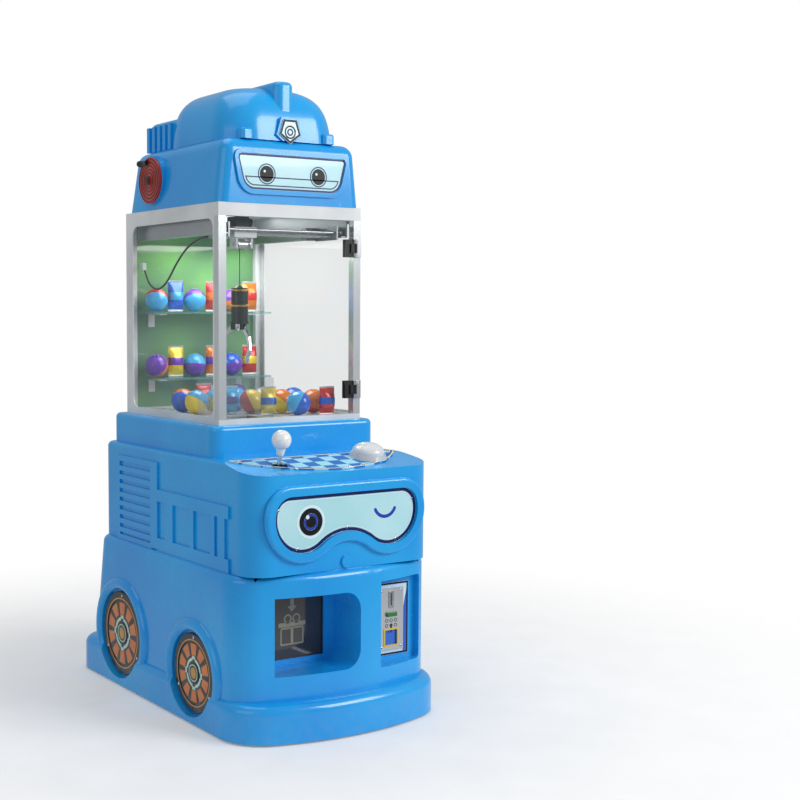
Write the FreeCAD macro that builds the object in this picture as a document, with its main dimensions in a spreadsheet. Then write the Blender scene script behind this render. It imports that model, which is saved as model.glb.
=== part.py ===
"""Child's claw crane machine: a blue moulded truck-like base, a glazed prize cabinet with an
overhead travelling crane, and a domed roof.

Frame: +Z up, the front faces -Y, millimetres. The origin is on the floor under the middle of the
base. Every driving size is a cell of the sheet "Sizes"; the solids follow those cells.
"""
import FreeCAD, Part

import math
import os

import Sketcher

from FreeCAD import Placement, Rotation, Vector

# ---------------------------------------------------------------- driving sizes, in millimetres
SIZES = {
    # shells and gaps
    "shell_wall": 4.0, "fit_gap": 0.3, "run_gap": 0.06, "shell_lift": 4.0,
    # base: bumper below, skirt above it
    "base_width": 556.0, "base_depth": 876.0, "bumper_top": 88.0, "bumper_round": 22.0,
    "base_corner": 110.0, "base_rear_corner": 60.0, "front_bow": 660.0,
    "skirt_side_step": 13.0, "skirt_front_step": 38.0, "skirt_rear_step": 34.0, "skirt_lean": 54.0,
    "skirt_top": 362.0, "skirt_round": 17.0, "pan_height": 10.0, "foot_radius": 20.0,
    # body over the skirt, plinth over the body
    "body_width": 492.0, "body_front": 384.0, "body_rear": 347.0, "body_top": 600.0,
    "body_corner": 58.0, "body_round": 12.0, "slope_start": 256.0, "relief": 5.0,
    "plinth_width": 446.0, "plinth_front": 187.0, "plinth_rear": 335.0, "plinth_top": 672.0,
    # cabinet
    "cabinet_width": 392.0, "cabinet_front": 162.0, "cabinet_rear": 306.0,
    "cabinet_height": 503.0, "post": 20.0, "header_height": 30.0, "sheet_metal": 3.0,
    "glass": 4.0, "window_corner": 24.0, "sill": 12.0, "deck_thickness": 8.0,
    # roof
    "roof_height": 147.0, "roof_taper": 16.0, "dome_top": 1454.0, "crest_rise": 7.0,
    "dome_half": 158.0, "dome_front": 146.0, "dome_rear": 240.0,
    "dome_fore_corner": 84.0, "dome_rear_corner": 150.0,
    "visor_top_half": 150.0, "visor_low_half": 116.0, "visor_height": 80.0, "visor_low": 31.0,
    "disc_radius": 56.0, "disc_back": 165.0, "disc_height": 72.0, "badge_radius": 31.0,
    # wheels
    "rear_wheel_radius": 104.0, "front_wheel_radius": 91.0, "rear_wheel_height": 130.0,
    "front_wheel_height": 114.0, "rear_wheel_back": 204.0, "front_wheel_fore": 163.0,
    "wheel_thickness": 8.0, "wheel_margin": 6.0, "arch_tube": 16.0,
    # prize outlet
    "recess_depth": 105.0, "recess_corner": 42.0, "recess_low": 140.0, "recess_high": 312.0,
    "prize_left": 181.0, "prize_right": 30.0, "flap_centre": -80.0, "flap_opening": 162.0,
    "flap_low": 152.0, "flap_high": 296.0, "flap_thickness": 4.0, "flap_rod": 3.0,
    "chute_wall": 2.0, "chute_size": 113.0, "bin_rear": -18.0,
    # coin entry
    "coin_left": 90.0, "coin_right": 224.0, "coin_low": 128.0, "coin_high": 325.0,
    "coin_wall_fore": 343.0, "coin_centre": 152.0, "coin_plate_width": 70.0,
    "coin_plate_low": 152.0, "coin_plate_height": 144.0, "coin_mech_depth": 60.0,
    # face panel
    "goggle_centre": 484.0, "goggle_lobe": 115.0, "goggle_radius": 76.0, "goggle_top": 533.0,
    "goggle_notch": 447.0, "goggle_corner": 40.0, "goggle_border": 23.0, "goggle_proud": 11.0,
    "panel_thickness": 3.0,
    # controls, along and across the sloping panel
    "panel_half": 228.0, "panel_depth": 116.0, "stick_along": -132.0, "stick_down": 60.0,
    "stick_radius": 5.0, "stick_rise": 52.0, "pivot_drop": 22.0, "knob_radius": 22.0,
    "button_along": 118.0, "button_down": 46.0, "button_radius": 44.0, "dome_radius": 37.0,
    "button_travel": 4.0,
    # crane
    "rail_half": 175.0, "rail_width": 18.0, "rail_low": 1106.0, "truck_half": 152.0,
    "rod_radius": 5.0, "rod_spread": 22.0, "bridge_home": -85.0, "trolley_home": -95.0,
    "roller_radius": 8.0, "axle_radius": 3.0, "drum_radius": 9.0,
    "claw_top": 990.0, "claw_radius": 20.0, "claw_height": 84.0, "finger_pivot": 14.0,
    # shelves
    "shelf_upper": 928.0, "shelf_lower": 762.0, "shelf_depth": 100.0, "shelf_thickness": 5.0,
}


class Size:
    """A number that remembers the sheet expression it comes from."""

    def __init__(self, value, text):
        self.value = float(value)
        self.text = text

    def __float__(self):
        return self.value

    def __add__(self, other):
        other = as_size(other)
        return Size(self.value + other.value, f"({self.text} + {other.text})")

    __radd__ = __add__

    def __neg__(self):
        return Size(-self.value, f"(0 - {self.text})")

    def __sub__(self, other):
        return self + (-as_size(other))

    def __rsub__(self, other):
        return as_size(other) + (-self)

    def __mul__(self, other):
        other = as_size(other)
        return Size(self.value * other.value, f"({self.text} * {other.text})")

    __rmul__ = __mul__

    def __truediv__(self, other):
        other = as_size(other)
        return Size(self.value / other.value, f"({self.text} / {other.text})")


def as_size(value):
    return value if isinstance(value, Size) else Size(value, f"({float(value)})")


def make_sheet(document):
    sheet = document.addObject("Spreadsheet::Sheet", "Sizes")
    for row, (name, number) in enumerate(SIZES.items(), start=1):
        sheet.set(f"A{row}", name)
        sheet.set(f"B{row}", str(number))
        sheet.setAlias(f"B{row}", name)
    return sheet


doc = FreeCAD.newDocument("claw_crane_machine")
make_sheet(doc)
doc.recompute()
S = {name: Size(doc.Sizes.get(name), f"Sizes.{name}") for name in SIZES}
NODES = []
SCREWS = []
PINS = []
LEAVES = []


# ---------------------------------------------------------------- small helpers
def bind(item, prop, size):
    item.setExpression(prop, as_size(size).text)


def place(item, x, y, z, rotation=None):
    if rotation is not None:
        item.Placement = Placement(Vector(float(x), float(y), float(z)), rotation)
    for axis, size in zip("xyz", (x, y, z)):
        bind(item, f"Placement.Base.{axis}", size)
    return item


def box(name, x, y, z):
    """A box between pairs of coordinates, each pair written (low, high)."""
    item = doc.addObject("Part::Box", name)
    for prop, (low, high) in zip(("Length", "Width", "Height"), (x, y, z)):
        bind(item, prop, as_size(high) - low)
    return place(item, x[0], y[0], z[0])


AXIS_TURN = {"x": Rotation(Vector(0, 1, 0), 90), "y": Rotation(Vector(1, 0, 0), -90), "z": Rotation()}


def cylinder(name, radius, start, length, axis="z"):
    """A cylinder that starts at a point and runs along +axis."""
    item = doc.addObject("Part::Cylinder", name)
    bind(item, "Radius", radius)
    bind(item, "Height", length)
    return place(item, *start, rotation=AXIS_TURN[axis])


def cone(name, low_radius, high_radius, start, length, axis="z"):
    item = doc.addObject("Part::Cone", name)
    bind(item, "Radius1", low_radius)
    bind(item, "Radius2", high_radius)
    bind(item, "Height", length)
    return place(item, *start, rotation=AXIS_TURN[axis])


def fuse(name, *parts):
    item = doc.addObject("Part::MultiFuse", name)
    item.Shapes = list(parts)
    return item


def cut(name, base, *tools):
    tool = tools[0] if len(tools) == 1 else fuse(name + "_tools", *tools)
    item = doc.addObject("Part::Cut", name)
    item.Base = base
    item.Tool = tool
    return item


def group(name, *parts):
    item = doc.addObject("Part::Compound", name)
    item.Links = list(parts)
    return item


def rounded(name, base, radius, choose):
    """Fillets the edges of base that choose(edge) picks."""
    doc.recompute()
    item = doc.addObject("Part::Fillet", name)
    item.Base = base
    picked = [n for n, edge in enumerate(base.Shape.Edges, start=1) if choose(edge)]
    item.Edges = [(n, float(radius), float(radius)) for n in picked]
    return item


def node(item, label):
    item.Label = label
    NODES.append(item)
    return item


# ---------------------------------------------------------------- PartDesign helpers
def new_body(name, x=0, y=0, z=0, rotation=None):
    return place(doc.addObject("PartDesign::Body", name), x, y, z, rotation)


def plane_of(body, role):
    return next(f for f in body.Origin.OriginFeatures if f.Role == role)


def new_sketch(body, name, role="XY_Plane", offset=0):
    sketch = body.newObject("Sketcher::SketchObject", name)
    sketch.AttachmentSupport = [(plane_of(body, role), "")]
    sketch.MapMode = "FlatFace"
    bind(sketch, "AttachmentOffset.Base.z", offset)
    return sketch


def pin_point(sketch, geometry, position, x, y):
    """Ties one point of the sketch to sheet-driven coordinates."""
    for kind, size in (("DistanceX", x), ("DistanceY", y)):
        index = sketch.addConstraint(Sketcher.Constraint(kind, geometry, position, float(size)))
        bind(sketch, f"Constraints[{index}]", size)


def polygon(sketch, points):
    """A closed outline of straight lines whose corners follow the sheet."""
    corners = [Vector(float(x), float(y), 0) for x, y in points]
    first = sketch.GeometryCount
    for start, end in zip(corners, corners[1:] + corners[:1]):
        sketch.addGeometry(Part.LineSegment(start, end), False)
    count = len(corners)
    for n in range(count):
        sketch.addConstraint(Sketcher.Constraint("Coincident", first + n, 2, first + (n + 1) % count, 1))
    for n, (x, y) in enumerate(points):
        pin_point(sketch, first + n, 1, x, y)


def turned(body, sketch, name):
    """A full revolution about the body's Z axis of a profile drawn on its XZ plane."""
    feature = body.newObject("PartDesign::Revolution", name)
    feature.Profile = sketch
    feature.ReferenceAxis = (plane_of(body, "Z_Axis"), [""])
    feature.Angle = 360
    return feature



# ---------------------------------------------------------------- values worked out from the sizes
WALL, GAP = S["shell_wall"], S["fit_gap"]
base_half, base_end = S["base_width"] / 2, S["base_depth"] / 2
skirt_half = base_half - S["skirt_side_step"]
skirt_front = base_end - S["skirt_front_step"]
skirt_rear = base_end - S["skirt_rear_step"]
body_half, plinth_half = S["body_width"] / 2, S["plinth_width"] / 2
cab_half, cab_front, cab_rear = S["cabinet_width"] / 2, S["cabinet_front"], S["cabinet_rear"]
cab_low = S["plinth_top"]
cab_top = cab_low + S["cabinet_height"]
roof_top = cab_top + S["roof_height"]
recess_wall = -(skirt_front - S["recess_depth"])
coin_wall = -S["coin_wall_fore"]
deck_top = cab_low + S["deck_thickness"]
SLOPE = 9.0
TILT = Rotation(Vector(1, 0, 0), SLOPE)
SIDES = (("left", -1), ("right", 1))


def on_slope(item, along, down, rise, turn=None):
    """Places an item in the sloping panel's own frame: along it, down the slope and off its face."""
    lean = math.radians(SLOPE)
    y = -S["slope_start"] - down * math.cos(lean) - rise * math.sin(lean)
    z = S["body_top"] - down * math.sin(lean) + rise * math.cos(lean)
    return place(item, along, y, z, TILT if turn is None else TILT.multiply(turn))


def tapered(name, low, high):
    """A block between two rectangles, each (half width, front, rear, height)."""
    item = doc.addObject("Part::Wedge", name)
    for prefix, (half, front, rear, height) in (("", low), ("2", high)):
        for axis, least, most in (("X", -half, half), ("Z", -rear, front)):
            for end, size in (("min", least), ("max", most)):
                bind(item, f"{axis}{prefix}{end}", size)
    bind(item, "Ymin", low[3])
    bind(item, "Ymax", high[3])
    item.Placement = Placement(Vector(), Rotation(Vector(1, 0, 0), 90))
    return item


def length_up(edge):
    ends = [vertex.Z for vertex in edge.Vertexes]
    return max(ends) - min(ends)


def moulded(name, low, high, corners, top_round, bow=None, inset=0, drop=0):
    """A rounded moulding; corners are (front, rear) radii, inset shrinks it for its hollow."""
    low = [low[0] - inset, low[1] - inset, low[2] - inset, low[3] - drop]
    high = [high[0] - inset, high[1] - inset, high[2] - inset, high[3] - inset]
    block = tapered(name + "_block", low, high)
    if bow is not None:
        round_front = cylinder(name + "_bow", bow - inset, (0, bow - low[1] - inset, low[3] - 5),
                               high[3] - low[3] + 10)
        common = doc.addObject("Part::Common", name + "_bowed")
        common.Base, common.Tool = block, round_front
        block = common
    doc.recompute()
    tall = 0.8 * float(high[3] - low[3])
    item = doc.addObject("Part::Fillet", name + "_corners")
    item.Base = block
    edges = []
    for n, edge in enumerate(block.Shape.Edges, start=1):
        if length_up(edge) > tall:
            radius = float(corners[0] if edge.CenterOfMass.y < 0 else corners[1]) - float(inset)
            edges.append((n, radius, radius))
    item.Edges = edges
    return rounded(name, item, top_round - inset, lambda edge: edge.CenterOfMass.z > float(high[3]) - 0.5)


def soft_block(name, block, corner, top):
    """A block whose upright corners are rounded more than the rim of its top."""
    upright = rounded(name + "_upright", block, corner, lambda edge: length_up(edge) > 1)
    doc.recompute()
    high = upright.Shape.BoundBox.ZMax
    return rounded(name, upright, top, lambda edge: edge.CenterOfMass.z > high - 0.1)


def front_window(name, x, z, y, radius, chosen=None):
    """A block that runs through a front wall, its edges along Y rounded."""
    block = box(name + "_block", x, y, z)
    if chosen is None:
        chosen = lambda edge: True
    along = lambda edge: abs(edge.tangentAt(edge.FirstParameter).y) > 0.99 and chosen(edge)
    return rounded(name, block, radius, along)


# ---------------------------------------------------------------- base
def wheel_sites():
    """Each wheel disc: name, side, y, z and radius."""
    for side, sign in SIDES:
        rear = (S["rear_wheel_back"], S["rear_wheel_height"], S["rear_wheel_radius"])
        front = (-S["front_wheel_fore"], S["front_wheel_height"], S["front_wheel_radius"])
        yield f"wheel_disc_rear_{side}", sign, *rear
        yield f"wheel_disc_front_{side}", sign, *front


def side_cylinder(name, sign, x_near, length, y, z, radius):
    """A cylinder along X that starts x_near from the middle plane and runs outwards."""
    start = x_near if sign > 0 else -x_near - length
    return cylinder(name, radius, (start, y, z), length, "x")


def base_shell():
    """Bumper, skirt and arches in one moulding, with the two front recesses and the wheel recesses."""
    lift, top = S["shell_lift"], S["skirt_top"]
    bumper = ((base_half, base_end, base_end, lift), (base_half, base_end, base_end, S["bumper_top"]))
    skirt = ((skirt_half, skirt_front, skirt_rear, S["bumper_top"] - 28),
             (skirt_half, skirt_front, skirt_rear - S["skirt_lean"], top))
    bumper_corners = (S["base_corner"], S["base_rear_corner"])
    skirt_corners = (S["base_corner"] - 30, S["base_rear_corner"])
    outer = [moulded("bumper", *bumper, bumper_corners, S["bumper_round"], S["front_bow"]),
             moulded("skirt", *skirt, skirt_corners, S["skirt_round"], S["front_bow"])]
    inner = [moulded("bumper_hollow", *bumper, bumper_corners, S["bumper_round"], S["front_bow"], WALL, 10),
             moulded("skirt_hollow", *skirt, skirt_corners, S["skirt_round"], S["front_bow"], WALL)]
    recesses, walls = [], []
    for name, sign, y, z, radius in wheel_sites():
        lip = doc.addObject("Part::Torus", name + "_lip")
        bind(lip, "Radius1", radius + S["wheel_margin"] + S["arch_tube"] - 2)
        bind(lip, "Radius2", S["arch_tube"])
        place(lip, sign * (skirt_half - 5), y, z, AXIS_TURN["x"])
        low_side = box(name + "_lip_below", (sign * skirt_half - 60, sign * skirt_half + 60),
                       (y - 200, y + 200), (z - 300, S["bumper_top"] - 10))
        outer.append(cut(name + "_arch", lip, low_side))
        depth = skirt_half - S["wheel_thickness"]
        recesses.append(side_cylinder(name + "_recess", sign, depth, 60, y, z, radius + S["wheel_margin"]))
        walls.append(side_cylinder(name + "_recess_wall", sign, depth - WALL, 64, y, z,
                                   radius + S["wheel_margin"] + WALL))
    front = -base_end - 20
    openings = (("prize", (-S["prize_left"], S["prize_right"]), (S["recess_low"], S["recess_high"]),
                 recess_wall, S["recess_corner"]),
                ("coin", (S["coin_left"], S["coin_right"]), (S["coin_low"], S["coin_high"]), coin_wall, 10))
    for name, x, z, back, radius in openings:
        right = lambda edge, middle=float(x[0] + x[1]) / 2: edge.CenterOfMass.x > middle
        recesses.append(front_window(name + "_recess", x, z, (front, back), radius, right))
        x_wall, z_wall = (x[0] - WALL, x[1] + WALL), (z[0] - WALL, z[1] + WALL)
        walls.append(front_window(name + "_recess_wall", x_wall, z_wall, (front, back + WALL), radius + 4,
                                  right))
    half_flap = S["flap_opening"] / 2
    flap_x = (S["flap_centre"] - half_flap, S["flap_centre"] + half_flap)
    recesses.append(box("flap_opening", flap_x, (recess_wall - 1, recess_wall + WALL + 1),
                        (S["flap_low"], S["flap_high"])))
    mech_half = S["coin_plate_width"] / 2 - 4
    mech_x = (S["coin_centre"] - mech_half, S["coin_centre"] + mech_half)
    mech_z = (S["coin_plate_low"] + 4, S["coin_plate_low"] + S["coin_plate_height"] - 4)
    recesses.append(box("coin_opening", mech_x, (coin_wall - 1, coin_wall + WALL + 1), mech_z))
    recesses.append(box("top_opening", (-body_half + 24, body_half - 24),
                        (-S["body_front"] + 24, S["body_rear"] - 24), (top - 20, top + 5)))
    solid = cut("base_outside", fuse("base_mass", *outer), *recesses)
    hollow = cut("base_inside", fuse("base_hollow", *inner), *walls)
    node(cut("base_shell_solid", solid, hollow), "base_shell")


def base_pan_and_feet():
    """The steel pan that the shell stands round, and its four levelling feet."""
    low, gap = S["pan_height"], WALL + GAP
    section = [base_half, base_end, base_end, low]
    lid = section[:3] + [low + S["sheet_metal"] + gap]
    pan = moulded("pan_sheet", section, lid, (S["base_corner"], S["base_rear_corner"]), gap + 0.6,
                  S["front_bow"], gap)
    node(pan, "base_pan")
    feet = []
    for n, (x, y) in enumerate(((-1, -1), (1, -1), (-1, 1), (1, 1))):
        centre = (x * (base_half - 60), y * (base_end - 110))
        pad_part = cylinder(f"foot_pad_{n}", S["foot_radius"], (*centre, 0), low / 2)
        stem = cylinder(f"foot_stem_{n}", S["foot_radius"] / 3, (*centre, low / 2), low / 2)
        feet.append(fuse(f"foot_{n}", pad_part, stem))
    node(group("feet_group", *feet), "levelling_feet")


def wheel_discs():
    """Decorative wheel discs, each a turned plate held by three screws."""
    discs = []
    for label, sign, y, z, radius in wheel_sites():
        turn = Rotation(Vector(0, 1, 0), 90 * sign)
        face = skirt_half - S["wheel_thickness"]
        body = new_body(label, sign * face, y, z, turn)
        discs.append(body)
        sketch = new_sketch(body, label + "_profile", "XZ_Plane")
        thick = S["wheel_thickness"]
        polygon(sketch, [(0, 0), (radius, 0), (radius, thick - 2), (radius - 2, thick),
                         (radius * 0.8, thick),
                         (radius * 0.8, thick - 1.5), (radius * 0.26, thick - 1.5), (radius * 0.26,
                                                                                     thick), (0, thick)])
        turned(body, sketch, label + "_turned")
        for n in range(3):
            angle = math.radians(90 + 120 * n)
            at = (y + radius * 0.9 * math.cos(angle), z + radius * 0.9 * math.sin(angle))
            SCREWS.append(side_cylinder(f"{label}_screw_{n}", sign, face + thick, 1.5, *at, 4))
    node(group("disc_group", *discs), "wheel_discs")


# ---------------------------------------------------------------- body
def side_reliefs():
    """Raised louvre panel and ladder with two windows, the same on both sides."""
    parts = []
    proud = S["relief"]
    bars = {"louvre_top": (68, 256, 558, 572), "louvre_low": (68, 256, 362, 374),
            "louvre_back": (240, 256, 362, 572),
            "louvre_post": (38, 74, 364, 572), "rail_high": (-296, 40, 480, 508), "rail_low": (-296, 40,
                                                                                               362, 392),
            "window_post_1": (-40, 0, 392, 480), "window_post_2": (-140, -122, 392, 480),
            "window_post_3": (-236, -218, 392, 480), "end_post": (-280, -250, 392, 480)}
    for side, sign in SIDES:
        x = (body_half - 1, body_half + proud) if sign > 0 else (-body_half - proud, -body_half + 1)
        for name, (front, rear, low, high) in bars.items():
            parts.append(box(f"{name}_{side}", x, (front, rear), (low, high)))
        slats = 8
        for n in range(slats):
            low = 380 + n * 22
            parts.append(box(f"slat_{n}_{side}", x, (72, 242), (low, low + 12)))
    return parts


def goggle_outline(y, grow):
    """The two-lobed outline of the face panel as a closed wire on a plane of constant y."""
    centre, lobe, radius = (float(S[n]) for n in ("goggle_centre", "goggle_lobe", "goggle_radius"))
    top, notch, corner = (float(S[n]) for n in ("goggle_top", "goggle_notch", "goggle_corner"))
    # the notch arc touches both lobes from outside
    reach = centre - notch
    notch_radius = radius
    if radius > reach:
        notch_radius = (lobe ** 2 + reach ** 2 - radius ** 2) / (2 * (radius - reach))
    low = notch - notch_radius
    # the corner arc touches the top line and the lobe from inside
    rise = top - corner - centre
    out = math.sqrt((radius - corner) ** 2 - rise ** 2)

    def point(x, z):
        return Vector(x, y, z)

    def around(x, z, r, degrees):
        return point(x + r * math.cos(math.radians(degrees)), z + r * math.sin(math.radians(degrees)))

    lobe_end = math.degrees(math.atan2(low - centre, -lobe))
    corner_start = math.degrees(math.atan2(rise, out))
    r, c, n = radius + grow, corner + grow, notch_radius - grow
    high = top + grow
    right_corner = Part.Arc(around(lobe + out, top - corner, c, 90),
                            around(lobe + out, top - corner, c, (90 + corner_start) / 2),
                            around(lobe + out, top - corner, c, corner_start))
    middle = (corner_start + lobe_end) / 2
    right_lobe = Part.Arc(around(lobe, centre, r, corner_start), around(lobe, centre, r, middle),
                          around(lobe, centre, r, lobe_end))
    dip = Part.Arc(around(lobe, centre, r, lobe_end), point(0, low + n),
                   mirror_x(around(lobe, centre, r, lobe_end)))
    left_lobe = Part.Arc(*[mirror_x(around(lobe, centre, r, a)) for a in (lobe_end, middle, corner_start)])
    turns = (corner_start, (90 + corner_start) / 2, 90)
    left_corner = Part.Arc(*[mirror_x(around(lobe + out, top - corner, c, a)) for a in turns])
    lid = Part.LineSegment(point(-(lobe + out), high), point(lobe + out, high))
    return Part.Wire([arc.toShape() for arc in (right_corner, right_lobe, dip, left_lobe, left_corner,
                                                lid)])


def mirror_x(point):
    return Vector(-point.x, point.y, point.z)


def slab(wire, depth):
    """Extrudes a closed flat wire along Y."""
    return Part.Face(wire).extrude(Vector(0, depth, 0))


def feature(name, shape):
    item = doc.addObject("Part::Feature", name)
    item.Shape = shape
    return item


def body_shell():
    """Body and plinth in one moulding, sloping under the controls, with reliefs and a face surround."""
    body = ((body_half, S["body_front"], S["body_rear"], S["skirt_top"]),
            (body_half, S["body_front"], S["body_rear"], S["body_top"]))
    plinth = ((plinth_half, S["plinth_front"], S["plinth_rear"], S["body_top"] - 8),
              (plinth_half, S["plinth_front"], S["plinth_rear"], S["plinth_top"]))
    corners, plinth_corners = (S["body_corner"], 40), (26, 26)
    main = moulded("body_mass", *body, corners, S["body_round"])
    hollow = moulded("body_hollow", *body, corners, S["body_round"], None, WALL, 10)
    for_slope = box("slope_tool", (-300, 300), (-200, 0), (0, 60))
    on_slope(for_slope, -300, 200, 0)
    hollow_slope = box("slope_hollow_tool", (-300, 300), (-200, 0), (0, 60))
    on_slope(hollow_slope, -300, 200, -WALL)
    sloped = cut("body_sloped", main, for_slope)
    sloped_hollow = cut("body_hollow_sloped", hollow, hollow_slope)
    top = moulded("plinth", *plinth, plinth_corners, 11)
    top_hollow = moulded("plinth_hollow", *plinth, plinth_corners, 11, None, WALL)
    face = -float(S["body_front"])
    proud = float(S["goggle_proud"])
    ridge_mass = slab(goggle_outline(face - proud, float(S["goggle_border"])), proud)
    rim = [e for e in ridge_mass.Edges if e.CenterOfMass.y < face - proud + 0.01]
    ridge_mass = ridge_mass.makeFillet(proud * 0.7, rim)
    ridge = feature("goggle_ridge", ridge_mass.cut(slab(goggle_outline(face - proud - 1, float(GAP)),
                                                        proud + 1)))
    nose = cylinder("nose_boss", 14, (0, face - 5, S["skirt_top"] + 17), 6, "y")
    solid = fuse("body_outside", sloped, top, ridge, nose, *side_reliefs())
    door_half = 130 + GAP
    stick, button = S["stick_along"], S["button_along"]
    stick_hole = on_slope(box("stick_hole", (0, 68), (0, 68), (0, 40)), stick - 34, S["stick_down"] + 34,
                          -20)
    button_hole = on_slope(cylinder("button_hole", 22, (0, 0, 0), 40), button, S["button_down"], -20)
    chute_hole = box("plinth_chute_hole", *chute_footprint(0.5),
                     (S["plinth_top"] - 20, S["plinth_top"] + 1))
    door_hole = box("door_hole", (-door_half + 8, door_half - 8),
                    (S["body_rear"] - 10, S["body_rear"] + 10), (393, 567))
    inlet_hole = box("inlet_hole", (168, 198), (S["body_rear"] - 10, S["body_rear"] + 10), (386, 408))
    inside = fuse("body_inside", sloped_hollow, top_hollow)
    node(cut("body_shell_solid", solid, inside, stick_hole, button_hole, chute_hole, door_hole, inlet_hole),
         "body_shell")


def chute_footprint(margin):
    """The chute's outer square under the claw's home, as (x, y) pairs."""
    half = S["chute_size"] / 2 + margin
    x, y = S["trolley_home"], S["bridge_home"]
    return (x - half, x + half), (y - half, y + half)


def goggle_panel():
    """Face panel inside the raised surround, with its screws."""
    face = -float(S["body_front"])
    thick = float(S["panel_thickness"])
    node(feature("goggle_plate", slab(goggle_outline(face - thick, 0), thick)), "goggle_panel")
    radius, lobe, centre = S["goggle_radius"] - 8, S["goggle_lobe"], S["goggle_centre"]
    spots = [(0, S["goggle_notch"] + 8)]
    for sign in (-1, 1):
        for degrees in (-75, 18):
            out, up = math.cos(math.radians(degrees)), math.sin(math.radians(degrees))
            spots.append((sign * (lobe + radius * out), centre + radius * up))
    screws = [cylinder(f"goggle_screw_{n}", 3.5, (x, face - thick - 1.5, z), 1.5, "y") for n,
              (x, z) in enumerate(spots)]
    SCREWS.extend(screws)


def service_door():
    """Rear door over the body's rear opening, with its hinge pin, fixed leaf and cam lock."""
    rear, leaf = S["body_rear"] + GAP, S["sheet_metal"]
    low, high, half = 385, 575, 130
    axis_x, axis_y = half + 8, rear + leaf + 3
    plate = box("service_plate", (-half, half), (rear, rear + leaf), (low, high))
    hole = cylinder("service_lock_hole", 9 + GAP, (-half + 22, rear - 1, 480), 10, "y")
    knuckles, fixed = [], []
    for n in range(5):
        span = (low + 10 + 34 * n, low + 10 + 34 * n + 34 - GAP * 2)
        barrel = cylinder(f"service_barrel_{n}", 5, (axis_x, axis_y, span[0]), span[1] - span[0])
        if n % 2:
            arm = box(f"service_arm_{n}", (half - 14, axis_x), (rear + leaf, rear + leaf + 3), span)
            knuckles.append(fuse(f"service_knuckle_{n}", barrel, arm))
        else:
            arm = box(f"service_fixed_arm_{n}", (axis_x, axis_x + 22), (S["body_rear"], axis_y), span)
            fixed.append(fuse(f"service_fixed_{n}", barrel, arm))
    bore = cylinder("service_bore", 2 + S["run_gap"], (axis_x, axis_y, low), high - low)
    node(cut("service_door_solid", fuse("service_door_mass", plate, *knuckles), bore, hole), "service_door")
    pin = cylinder("service_pin", 2, (axis_x, axis_y, low + 8), 174)
    LEAVES.append(cut("service_hinge_leaves", group("service_leaves", *fixed), bore))
    PINS.append(pin)
    barrel = cylinder("service_lock_barrel", 9, (-half + 22, rear - 12, 480), 12 + leaf + 2, "y")
    cam = box("service_cam", (-half + 14, -half + 30), (rear - 12, rear - 9), (474, 486))
    tongue = box("service_cam_tongue", (-half + 17, -half + 27), (rear - 12, rear - 9), (480, 508))
    slot = box("service_key_slot", (-half + 21, -half + 23), (rear + leaf + 0.5, rear + leaf + 5),
               (476, 484))
    node(cut("service_lock_solid", fuse("service_lock_mass", barrel, cam, tongue), slot), "service_lock")


def power_inlet():
    """Mains inlet with a rocker switch, set in the rear wall of the body."""
    rear = S["body_rear"]
    plate = box("inlet_plate", (162, 204), (rear, rear + 2), (380, 414))
    case = box("inlet_case", (168 + GAP, 198 - GAP), (rear - 30, rear + 1), (386 + GAP, 408 - GAP))
    socket = box("inlet_socket", (172, 194), (rear - 20, rear + 3), (390, 404))
    pins = [box(f"inlet_pin_{n}", (x, x + 2), (rear - 21, rear - 6), (395, 399)) for n,
            x in enumerate((176, 182, 188))]
    node(fuse("inlet_solid", cut("inlet_hollow", fuse("inlet_mass", plate, case), socket), *pins),
         "power_inlet")


def control_box():
    """Electronics case that stands on the base pan."""
    floor = S["pan_height"] + S["sheet_metal"]
    case = box("control_case", (-150, 60), (150, 290), (floor + GAP, floor + 90))
    node(case, "control_box")


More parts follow.
